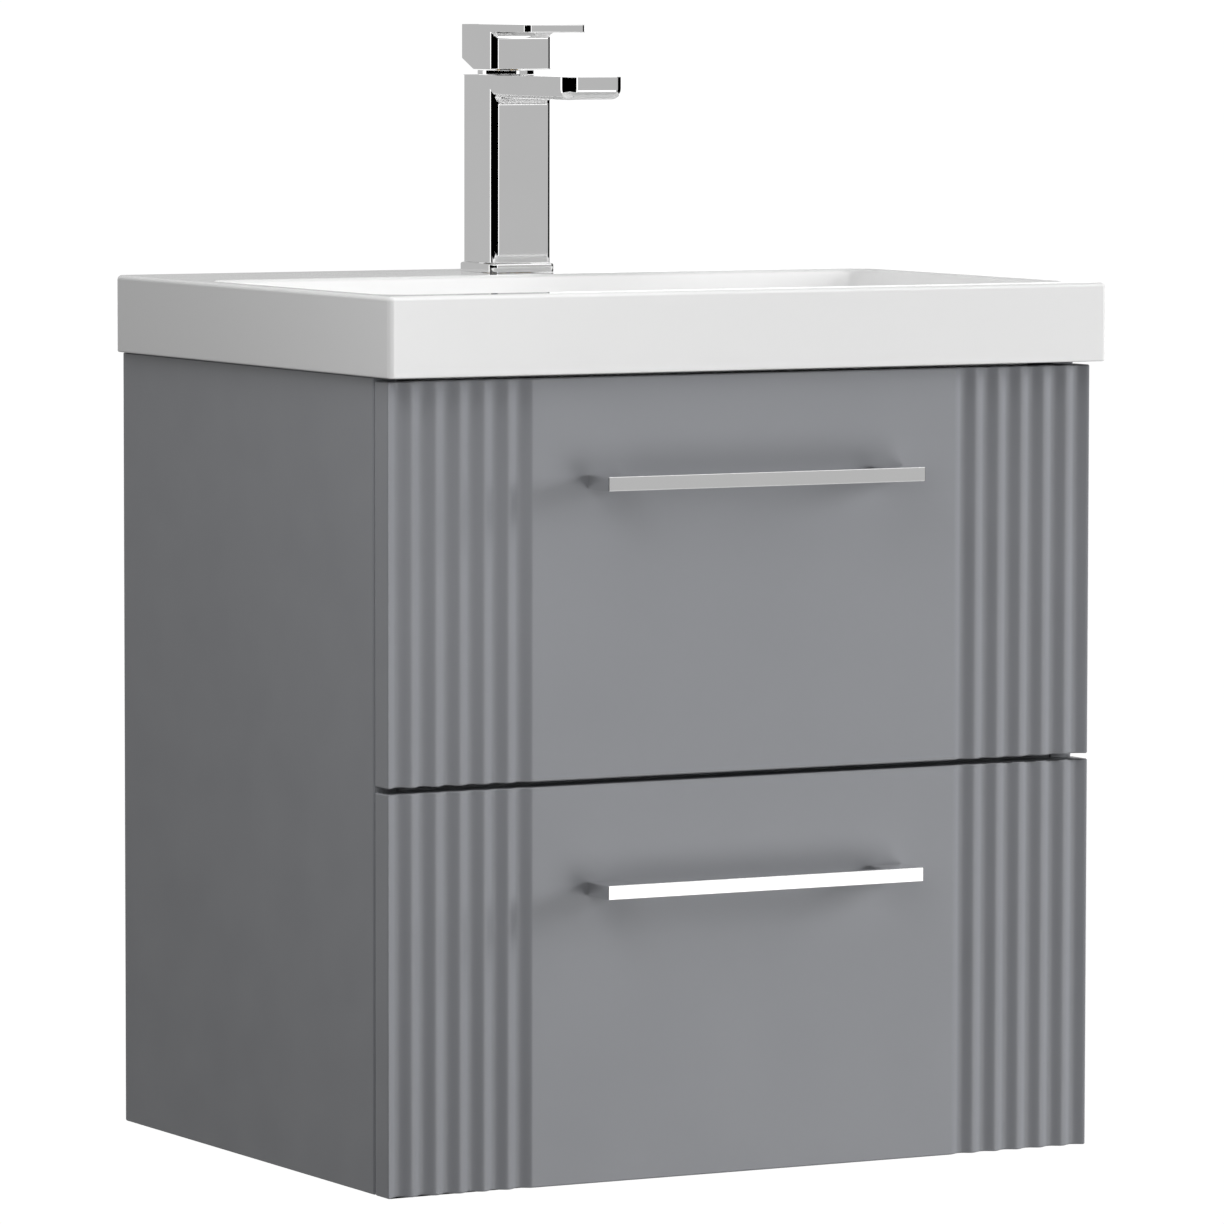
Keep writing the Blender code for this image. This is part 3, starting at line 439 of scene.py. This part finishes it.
# tap: the column with its flat spout, the lever above it, and the square foot
tapLook = {"side": 0.0444, "spout": 0.015, "cornerRadius": 0.0048, "tipRadius": 0.009, "underRadius": 0.0070,
           "innerRadius": 0.0050, "crispEdge": 0.0005, "plate": 0.005, "blockCorner": 0.0045,
           "plateCorner": 0.004, "plateFillet": 0.005, "slopeDepth": 0.0160, "slopeRise": 0.0070,
           "pocketHalfWidth": 0.0095, "pocketHalfDepth": 0.0125, "pocketTop": 0.242, "pocketDrop": 0.01,
           "flangeEdge": 0.0012, "mouthClear": 0.0005, "mouthLow": 0.19}
fullRadius = 0.010  # the radius that an edge's bevel weight of 1 stands for


def weightLayer(bm):
    layers = bm.edges.layers.float
    return layers.get("bevel_weight_edge") or layers.new("bevel_weight_edge")


def setWeight(layer, edges, radius):
    for edge in edges:
        edge[layer] = radius / fullRadius


def weightedBevel(bm):
    # rounds each edge by its own weight
    block = cutterObject("roundedBlock", bm)
    ease = block.modifiers.new("Ease", "BEVEL")
    ease.limit_method = "WEIGHT"
    ease.width = fullRadius
    ease.segments = 6
    ease.use_clamp_overlap = False
    return finished(block)


def growForward(bm, fromY, toY, aboveZ):
    front = [face for face in bm.faces if face.normal.y < -0.9 and face.calc_center_median().z > aboveZ]
    growFaces(bm, front, (0, toY - fromY, 0))


def armedBlock(low, high, armThickness):
    # a square block at the back, with a flat arm that runs forward from its top
    blockFront = high.y - tapLook["side"]
    armLow = high.z - armThickness
    bm = bmesh.new()
    cubeBetween(bm, Vector((low.x, blockFront, low.z)), high)
    cutAcross(bm, (0, 0, armLow), (0, 0, 1))
    bm.normal_update()
    growForward(bm, blockFront, low.y, armLow)
    return bm, blockFront, armLow


def makeTapBody():
    low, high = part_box("tap_body")
    bm, columnFront, spoutLow = armedBlock(low, high, tapLook["spout"])
    tips = [edge for edge in bm.edges if upright(edge) and near(edge.verts[0].co.y, low.y)]
    roundEdges(bm, tips, tapLook["tipRadius"], 8)
    bm.normal_update()
    layer = weightLayer(bm)
    setWeight(layer, sharpEdges(bm, 40), tapLook["crispEdge"])
    columns = [edge for edge in bm.edges if upright(edge) and edge.verts[0].co.y > columnFront - 0.0001
               and edge.calc_face_angle(0) > 1]
    setWeight(layer, columns, tapLook["cornerRadius"])
    under = edgesWhere(bm, lambda co: near(co.z, spoutLow) and co.y < columnFront + 0.0001)
    setWeight(layer, under, tapLook["underRadius"])
    inner = edgesWhere(bm, lambda co: near(co.z, spoutLow) and near(co.y, columnFront))
    setWeight(layer, inner, tapLook["innerRadius"])
    bm = weightedBevel(bm)
    aeratorLow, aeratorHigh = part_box("tap_aerator")
    middle = (aeratorLow + aeratorHigh) / 2
    mouth = rodCutter("mouth", (aeratorHigh.x - aeratorLow.x) / 2 + tapLook["mouthClear"],
                      Vector((0, middle.y, tapLook["mouthLow"])), Vector((0, middle.y, aeratorHigh.z)))
    bm = carve(bm, [("DIFFERENCE", mouth)])
    evenNormals(addPiece("tapColumn", bm, "chrome", "cabinet", ["tap_body"]))


def makeLever():
    low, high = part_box("tap_lever")
    bm, blockFront, plateLow = armedBlock(low, high, tapLook["plate"])
    slope = Vector((0, tapLook["slopeRise"], -tapLook["slopeDepth"]))
    cut = cutAcross(bm, (0, high.y, low.z + tapLook["slopeRise"]), slope, True)
    rim = [item for item in cut["geom_cut"] if isinstance(item, bmesh.types.BMEdge)]
    bmesh.ops.contextual_create(bm, geom=rim)
    bmesh.ops.recalc_face_normals(bm, faces=bm.faces)
    layer = weightLayer(bm)
    setWeight(layer, sharpEdges(bm, 15), tapLook["crispEdge"])
    corners = [edge for edge in bm.edges if upright(edge) and near(edge.verts[0].co.y, blockFront)
               and edge.calc_face_angle(0) > 1]
    setWeight(layer, corners, tapLook["blockCorner"])
    tips = [edge for edge in bm.edges if upright(edge) and near(edge.verts[0].co.y, low.y)]
    setWeight(layer, tips, tapLook["plateCorner"])
    inner = edgesWhere(bm, lambda co: near(co.z, plateLow) and near(co.y, blockFront))
    setWeight(layer, inner, tapLook["plateFillet"])
    bm = weightedBevel(bm)
    pocket = bmesh.new()
    middleY = (blockFront + high.y) / 2
    halfWidth = tapLook["pocketHalfWidth"]
    halfDepth = tapLook["pocketHalfDepth"]
    cubeBetween(pocket, Vector((-halfWidth, middleY - halfDepth, low.z - tapLook["pocketDrop"])),
                Vector((halfWidth, middleY + halfDepth, tapLook["pocketTop"])))
    bm = carve(bm, [("DIFFERENCE", cutterObject("pocket", pocket))])
    evenNormals(addPiece("leverHandle", bm, "chrome", "lever", ["tap_lever"]))


def makeTapFlange():
    low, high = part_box("tap_flange")
    bm = bmesh.new()
    cubeBetween(bm, low, high)
    roundEdges(bm, [edge for edge in bm.edges if upright(edge)], tapLook["cornerRadius"], 6)
    roundEdges(bm, edgesWhere(bm, lambda co: near(co.z, high.z)), tapLook["flangeEdge"], 4)
    evenNormals(addPiece("tapFoot", bm, "chrome", "cabinet", ["tap_flange"]))


makeTapBody()
makeLever()
makeTapFlange()
print("tap made")


# turned pieces: an outline of (radius, height) points is spun about its own middle
gripWall = 0.0012  # only what lies this close to the outer wall is gripped
outward = Matrix.Rotation(math.pi / 2, 4, "X")


def raised(outline, height):
    return [(radius, height + rise) for radius, rise in outline]


def easedWall(radius, low, high, ease):
    # an outer wall from low to high with eased corners
    half = ease * 0.3
    return [(radius - ease, low), (radius - half, low + half), (radius, low + ease), (radius, high - ease),
            (radius - half, high - half), (radius - ease, high)]


def ringProfile(inner, outer, low, high, ease):
    return [(inner, low)] + easedWall(outer, low, high, ease) + [(inner, high)]


def threadProfile(radius, low, high, pitch, depth):
    # a run of rounded ridges from low to high
    points = []
    for turn in range(int((high - low) / pitch)):
        start = low + turn * pitch
        points += [(radius - depth, start), (radius, start + pitch * 0.35), (radius, start + pitch * 0.65)]
    return points + [(radius - depth, high)]


def gripped(bm, radius, depth, count):
    # finger grips pressed into the outer wall
    for vert in bm.verts:
        reach = math.hypot(vert.co.x, vert.co.y)
        if reach > radius - gripWall:
            turn = math.atan2(vert.co.y, vert.co.x)
            shrink = 1 - depth / radius * (0.5 - 0.5 * math.cos(count * turn))
            vert.co.x *= shrink
            vert.co.y *= shrink


def makeTurned(node, profile, place, body="cabinet", closed=True, turn=None, steps=72, grips=None,
               degrees=32):
    bm = spun(profile, closed, steps)
    if grips:
        gripped(bm, *grips)
    putAt(bm, place, turn)
    words = node.split("_")
    name = words[0] + "".join(word.capitalize() for word in words[1:])
    evenNormals(addPiece(name, bm, slotOf[node], body, [node], degrees))


# the tap's own turned pieces
shankLook = {"bore": 0.011, "tip": 0.0152, "radius": 0.016, "neck": 0.0158, "threadStart": 0.001,
             "threadEnd": 0.090, "neckStart": 0.0902, "pitch": 0.0015, "depth": 0.0007}
fittingLook = {"collarBore": 0.009, "collarEase": 0.0004, "backnutBore": 0.0163, "backnutEase": 0.0010,
               "backnutSides": 6, "cartridge": 0.0142, "spindle": 0.0070, "ease": 0.0005}
aeratorLook = {"rings": 4, "pitch": 0.0018,
               "ring": [(0, 0.0014), (0.0007, 0.0014), (0.0009, 0.0009), (0.0016, 0.0009)],
               "lip": [(0.0086, 0.0014), (0.0088, 0.0003), (0.0091, 0), (0.0102, 0), (0.0105, 0.0003)]}
tapAt = (0, basinLook["tapY"], 0)


def makeRing(name, node, inner, slotName, ease, steps):
    low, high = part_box(node)
    bm = spun(ringProfile(inner, (high.x - low.x) / 2, low.z, high.z, ease), True, steps)
    putAt(bm, (0, (low.y + high.y) / 2, 0))
    evenNormals(addPiece(name, bm, slotName, "cabinet", [node]))


def makeShank():
    low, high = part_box("tap_shank")
    thread = threadProfile(shankLook["radius"], low.z + shankLook["threadStart"], shankLook["threadEnd"],
                           shankLook["pitch"], shankLook["depth"])
    profile = [(shankLook["bore"], low.z), (shankLook["tip"], low.z)] + thread
    profile += [(shankLook["neck"], shankLook["neckStart"]), (shankLook["neck"], high.z),
                (shankLook["bore"], high.z)]
    makeTurned("tap_shank", profile, tapAt, degrees=24)


def makeRod(node, radius, body):
    low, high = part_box(node)
    wall = easedWall(radius, low.z, high.z, fittingLook["ease"])
    makeTurned(node, [(0, low.z)] + wall + [(0, high.z)], tapAt, body=body, closed=False)


def makeAerator():
    low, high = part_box("tap_aerator")
    height = high.z - low.z
    profile = []
    for ringIndex in range(aeratorLook["rings"]):
        inner = aeratorLook["pitch"] * ringIndex
        profile += [(inner + radius, rise) for radius, rise in aeratorLook["ring"]]
    profile += aeratorLook["lip"] + [(aeratorLook["lip"][-1][0], height), (0, height)]
    makeTurned("tap_aerator", profile, (0, (low.y + high.y) / 2, low.z), closed=False)


makeRing("tapCollar", "tap_collar", fittingLook["collarBore"], "chrome", fittingLook["collarEase"], 64)
makeRing("tapBacknut", "tap_backnut", fittingLook["backnutBore"], "brass", fittingLook["backnutEase"],
         fittingLook["backnutSides"])
makeShank()
makeRod("tap_cartridge", fittingLook["cartridge"], "cabinet")
makeRod("tap_spindle", fittingLook["spindle"], "lever_base")
makeAerator()
print("tap fittings made")

# waste, plug and nuts: outlines are measured from the top of each piece
wasteLook = {"middleY": -0.241, "bore": 0.0190, "tip": 0.0214, "radius": 0.0222, "threadStart": 0.001,
             "threadEnd": 0.066, "neckStart": 0.0662, "pitch": 0.0015, "depth": 0.0006,
             "rim": [(0.0222, -0.0027), (0.0312, -0.0027), (0.0315, -0.0023), (0.0313, -0.0010),
                     (0.0308, -0.0003), (0.0300, 0), (0.0215, 0), (0.0203, -0.0005), (0.0194, -0.0013),
                     (0.0190, -0.0024)]}
plugLook = {"dome": 0.0030, "domeRadius": 0.029, "domeSteps": 12, "under": -0.0052, "guideEase": 0.0004,
            "edge": [(0.0296, 0.0018), (0.0300, 0.0010), (0.0297, 0.0003), (0.0290, 0)], "guide": 0.0150}
nutLook = {"bore": 0.0225, "ease": 0.0010, "grips": 24, "gripDepth": 0.0009, "steps": 192}
wasteAt = (0, wasteLook["middleY"], 0)


def makeWaste():
    low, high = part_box("waste_flange")
    profile = [(wasteLook["bore"], low.z), (wasteLook["tip"], low.z)]
    profile += threadProfile(wasteLook["radius"], low.z + wasteLook["threadStart"],
                             low.z + wasteLook["threadEnd"], wasteLook["pitch"], wasteLook["depth"])
    profile += [(wasteLook["radius"], low.z + wasteLook["neckStart"])] + raised(wasteLook["rim"], high.z)
    makeTurned("waste_flange", profile, wasteAt, degrees=24)


def makePlug():
    low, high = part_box("waste_plug")
    steps = plugLook["domeSteps"]
    dome = [(plugLook["domeRadius"] * step / steps, high.z - plugLook["dome"] * (step / steps) ** 2)
            for step in range(steps + 1)]
    under = high.z + plugLook["under"]
    guide = plugLook["guide"]
    ease = plugLook["guideEase"]
    stem = [(guide, under), (guide, low.z + ease), (guide - ease, low.z), (0, low.z)]
    makeTurned("waste_plug", dome + raised(plugLook["edge"], under) + stem, wasteAt, body="plug",
               closed=False, steps=96, degrees=40)


def makeNut(node, outer):
    low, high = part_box(node)
    makeTurned(node, ringProfile(nutLook["bore"], outer, low.z, high.z, nutLook["ease"]), wasteAt,
               steps=nutLook["steps"], grips=(outer, nutLook["gripDepth"], nutLook["grips"]))


makeWaste()
makePlug()
makeNut("waste_nut", 0.030)
makeNut("trap_nut", 0.029)
print("waste made")

# bottle trap: the body's outlines are measured from its shoulder, the cup's from its bottom and top
trapLook = {"pipeZ": -0.148, "shoulderDrop": 0.022, "inletRadius": 0.0205, "inletBore": 0.0175,
            "shoulder": [(0.0205, 0.0015), (0.0210, 0), (0.0230, -0.0012), (0.0265, -0.0025),
                         (0.0290, -0.0045), (0.0300, -0.0080)],
            "foot": [(0.0300, 0.0004), (0.0296, 0), (0.0270, 0)],
            "inside": [(0.0270, -0.0105), (0.0240, -0.0070), (0.0175, -0.0040)],
            "spigot": 0.0205, "spigotStart": -0.218, "bore": 0.0163, "boreStart": -0.236, "past": 0.01,
            "clear": 0.0270, "clearTop": -0.0105,
            "cupFoot": [(0, 0), (0.0255, 0), (0.0283, 0.0008), (0.0303, 0.0028), (0.0315, 0.0058)],
            "cupRim": [(0.0315, -0.0012), (0.0312, -0.0003), (0.0305, 0), (0.0270, 0)],
            "cupFloor": [(0.0270, 0.0040), (0, 0.0040)], "cupRadius": 0.0315,
            "pipeBore": 0.0145, "pipeRadius": 0.0160, "pipeEase": 0.0003,
            "collar": [(0.0163, 0), (0.0163, 0.0058), (0.0166, 0.0060), (0.0190, 0.0060), (0.0235, 0.0054),
                       (0.0290, 0.0037), (0.0325, 0.0018), (0.0338, 0.0008), (0.0340, 0)]}


def makeTrapBody():
    low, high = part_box("trap_body")
    shoulder = high.z - trapLook["shoulderDrop"]
    outside = [(trapLook["inletRadius"], high.z)] + raised(trapLook["shoulder"], shoulder)
    inside = raised(trapLook["inside"], shoulder) + [(trapLook["inletBore"], high.z)]
    bm = spun(outside + raised(trapLook["foot"], low.z) + inside, True, 72)
    putAt(bm, wasteAt)
    pipeZ = trapLook["pipeZ"]
    spigot = rodCutter("spigot", trapLook["spigot"], Vector((0, trapLook["spigotStart"], pipeZ)),
                       Vector((0, high.y, pipeZ)), 72)
    bore = rodCutter("bore", trapLook["bore"], Vector((0, trapLook["boreStart"], pipeZ)),
                     Vector((0, high.y + trapLook["past"], pipeZ)), 72)
    clear = rodCutter("clear", trapLook["clear"], Vector((0, wasteAt[1], low.z - trapLook["past"])),
                      Vector((0, wasteAt[1], shoulder + trapLook["clearTop"])), 72)
    bm = carve(bm, [("UNION", spigot), ("DIFFERENCE", bore), ("DIFFERENCE", clear)])
    evenNormals(addPiece("trapBody", bm, slotOf["trap_body"], "cabinet", ["trap_body"]))


def makeTrapCup():
    low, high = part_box("trap_cup")
    profile = raised(trapLook["cupFoot"], low.z) + raised(trapLook["cupRim"], high.z)
    makeTurned("trap_cup", profile + raised(trapLook["cupFloor"], low.z), wasteAt, closed=False,
               steps=nutLook["steps"], grips=(trapLook["cupRadius"], nutLook["gripDepth"], nutLook["grips"]))


def makeOutlet():
    low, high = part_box("trap_outlet_pipe")
    pipe = ringProfile(trapLook["pipeBore"], trapLook["pipeRadius"], 0, high.y - low.y, trapLook["pipeEase"])
    makeTurned("trap_outlet_pipe", pipe, (0, high.y, trapLook["pipeZ"]), turn=outward)
    makeTurned("wall_collar", trapLook["collar"], (0, 0, trapLook["pipeZ"]), turn=outward)


makeTrapBody()
makeTrapCup()
makeOutlet()
print("trap made")

# overflow ring: it lies on the leaning wall of the bowl, and its tube runs into the wall
overflowOutline = [(0.0087, -0.0075), (0.0107, -0.0075), (0.0107, 0.0003), (0.0138, 0.0003),
                   (0.0140, 0.0006), (0.0139, 0.0011), (0.0134, 0.0016), (0.0126, 0.0018),
                   (0.0100, 0.0018), (0.0092, 0.0015), (0.0087, 0.0008)]


def makeOverflow():
    drop = basinLook["overflowDrop"]
    place = (0, basinLook["bowlBack"] - basinLook["draft"] * drop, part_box("basin")[1].z - drop)
    lean = Matrix.Rotation(math.pi / 2 - math.atan(basinLook["draft"]), 4, "X")
    makeTurned("overflow_ring", overflowOutline, place, turn=lean, degrees=50)


makeOverflow()
print("overflow ring made")

# handle screws
screwLook = {"head": 0.0040, "slot": [(0, 0.0012), (0.0008, 0.0010), (0.0015, 0), (0.0034, 0),
                                      (0.0039, 0.0004), (0.0040, 0.0009)],
             "under": 0.0020, "core": 0.0019, "plain": 0.010, "threadStart": 0.0102, "threadLeft": 0.001,
             "pitch": 0.0008, "depth": 0.0003, "tip": 0.0010}


def makeScrew(node, body):
    low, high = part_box(node)
    length = high.y - low.y
    core = screwLook["core"]
    profile = screwLook["slot"] + [(screwLook["head"], screwLook["under"]), (core, screwLook["under"]),
                                   (core, screwLook["plain"])]
    profile += threadProfile(core, screwLook["threadStart"], length - screwLook["threadLeft"],
                             screwLook["pitch"], screwLook["depth"])
    profile += [(screwLook["tip"], length), (0, length)]
    makeTurned(node, profile, ((low.x + high.x) / 2, high.y, (low.z + high.z) / 2), body=body,
               closed=False, turn=outward, steps=32, degrees=40)


for drawerName in ("upper", "lower"):
    for side in ("left", "right"):
        makeScrew(f"{drawerName}_handle_{side}_screw", f"{drawerName}_drawer")
print("screws made")

# the boards, rails, hangers and runners stay as they are in the frame, with finishes and eased edges
easedEdges = {"lacquer": 0.0006, "drawer_board": 0.0005, "zinc_steel": 0.00025}
joinGap = 0.00001
for nodeName, node in frame["nodes"].items():
    if node.hide_render:
        continue
    node.data.materials.clear()
    node.data.materials.append(finishes[slotOf[nodeName]])
    join = node.modifiers.new("Join corners", "WELD")
    join.merge_threshold = joinGap
    ease = node.modifiers.new("Eased edges", "BEVEL")
    ease.limit_method = "ANGLE"
    ease.angle_limit = math.radians(50)
    ease.width = easedEdges[slotOf[nodeName]]
    ease.segments = 2
print("carried-over nodes finished")

# stage: a white surround for the camera, and a grey one that only polished surfaces see
stageLook = {"floorDrop": 0.80, "domeRadius": 14.0, "white": 1.02, "ambient": 0.11, "glossRadius": 5.0,
             "gloss": 0.50, "screenRadius": 3.2, "aim": (0, -0.2, -0.1)}


def glowing(name, strength):
    made = bpy.data.materials.new(name)
    made.use_nodes = True
    tree = made.node_tree
    tree.nodes.clear()
    glow = tree.nodes.new("ShaderNodeEmission")
    glow.inputs["Color"].default_value = (1, 1, 1, 1)
    glow.inputs["Strength"].default_value = strength
    out = tree.nodes.new("ShaderNodeOutputMaterial")
    tree.links.new(glow.outputs["Emission"], out.inputs["Surface"])
    return made


def addStage(name, bm, strength, seenBy):
    mesh = bpy.data.meshes.new(name)
    bm.to_mesh(mesh)
    bm.free()
    mesh.materials.append(glowing(name, strength))
    made = bpy.data.objects.new(name, mesh)
    bpy.context.scene.collection.objects.link(made)
    made.visible_camera = seenBy == "camera"
    made.visible_diffuse = False
    made.visible_glossy = seenBy == "glossy"
    made.visible_transmission = False
    made.visible_shadow = False
    made.visible_volume_scatter = False


def addDome(name, radius, strength, seenBy):
    domeMesh = bmesh.new()
    bmesh.ops.create_uvsphere(domeMesh, u_segments=48, v_segments=24, radius=radius)
    addStage(name, domeMesh, strength, seenBy)


floorMesh = bmesh.new()
bmesh.ops.create_grid(floorMesh, x_segments=1, y_segments=1, size=stageLook["domeRadius"])
bmesh.ops.translate(floorMesh, vec=(0, 0, -stageLook["floorDrop"]), verts=floorMesh.verts)
addStage("paleFloor", floorMesh, stageLook["white"], "camera")
addDome("paleDome", stageLook["domeRadius"], stageLook["white"], "camera")
addDome("greyDome", stageLook["glossRadius"], stageLook["gloss"], "glossy")

# screens that only polished surfaces see: angles in degrees from the front, positive to the right
screens = [
    {"name": "leftFlag", "angles": (-118, 8), "heights": (-1.6, 1.6), "light": 0.0},
    {"name": "lowStrip", "angles": (21, 40), "heights": (-1.1, -0.42), "light": 1.5},
    {"name": "leftStrip", "angles": (-138, -118), "heights": (-1.6, 1.6), "light": 1.4},
    {"name": "frontStrip", "angles": (8, 19), "heights": (-1.6, 1.6), "light": 1.4},
    {"name": "rightFlag", "angles": (55, 95), "heights": (-1.6, 1.6), "light": 0.0},
    {"name": "rightStrip", "angles": (95, 152.5), "heights": (-1.6, 1.6), "light": 1.2},
    {"name": "highStrip", "angles": (-70, 60), "heights": (2.0, 3.6), "light": 2.5},
]
for screen in screens:
    screenMesh = bmesh.new()
    startAngle = math.radians(screen["angles"][0])
    sweep = math.radians(screen["angles"][1]) - startAngle
    outX = stageLook["screenRadius"] * math.sin(startAngle)
    outY = -stageLook["screenRadius"] * math.cos(startAngle)
    foot = screenMesh.verts.new((outX, outY, screen["heights"][0]))
    head = screenMesh.verts.new((outX, outY, screen["heights"][1]))
    upEdge = screenMesh.edges.new((foot, head))
    bmesh.ops.spin(screenMesh, geom=[foot, head, upEdge], cent=(0, 0, 0), axis=(0, 0, 1), angle=sweep,
                   steps=16)
    addStage(screen["name"], screenMesh, screen["light"], "glossy")

world = bpy.data.worlds.new("studio")
bpy.context.scene.world = world
world.use_nodes = True
world.node_tree.nodes["Background"].inputs["Color"].default_value = (1, 1, 1, 1)
world.node_tree.nodes["Background"].inputs["Strength"].default_value = stageLook["ambient"]

lights = [
    {"name": "keyLight", "from": (2.6, -1.35, 0.5), "size": 1.0, "power": 71.0},
    {"name": "lowFill", "from": (0.8, -1.9, -0.78), "size": 1.0, "power": 13.5},
    {"name": "topLight", "from": (-0.35, -0.3, 1.3), "size": 0.9, "power": 9.5},
    {"name": "leftTopFill", "from": (-0.80, -0.85, 0.74), "size": 0.5, "power": 3.4},
    {"name": "leftFill", "from": (-0.70, -1.1, 0.10), "size": 0.5, "power": 2.3},
    {"name": "backFill", "from": (-0.4, 1.9, 0.7), "size": 1.4, "power": 16.0},
]
for light in lights:
    lamp = bpy.data.lights.new(light["name"], "AREA")
    lamp.size = light["size"]
    lamp.energy = light["power"]
    lampObject = bpy.data.objects.new(light["name"], lamp)
    bpy.context.scene.collection.objects.link(lampObject)
    start = Vector(light["from"])
    lampObject.location = start
    lampObject.rotation_euler = (Vector(stageLook["aim"]) - start).to_track_quat("-Z", "Y").to_euler()
    lampObject.visible_glossy = False
    lampObject.visible_camera = False
print("stage made")

# camera: angles in degrees about the target, 0 from the front, positive to the right
cameraLook = {"azimuth": -28.300, "elevation": 4.550, "roll": 0.086, "distance": 5.1532,
              "target": (0.00309, -0.200, -0.1215), "lens": 235.5, "sensor": 36.0, "clipEnd": 100}
azimuth = math.radians(cameraLook["azimuth"])
elevation = math.radians(cameraLook["elevation"])
backward = Vector((math.sin(azimuth) * math.cos(elevation), -math.cos(azimuth) * math.cos(elevation),
                   math.sin(elevation)))
camera = bpy.data.cameras.new("camera")
camera.lens = cameraLook["lens"]
camera.sensor_width = cameraLook["sensor"]
camera.clip_end = cameraLook["clipEnd"]
cameraObject = bpy.data.objects.new("camera", camera)
bpy.context.scene.collection.objects.link(cameraObject)
cameraObject.location = Vector(cameraLook["target"]) + backward * cameraLook["distance"]
facing = (-backward).to_track_quat("-Z", "Y").to_matrix()
roll = Matrix.Rotation(math.radians(cameraLook["roll"]), 3, "Z")
cameraObject.rotation_euler = (facing @ roll).to_euler()
bpy.context.scene.camera = cameraObject
bpy.context.scene.view_settings.view_transform = "Standard"
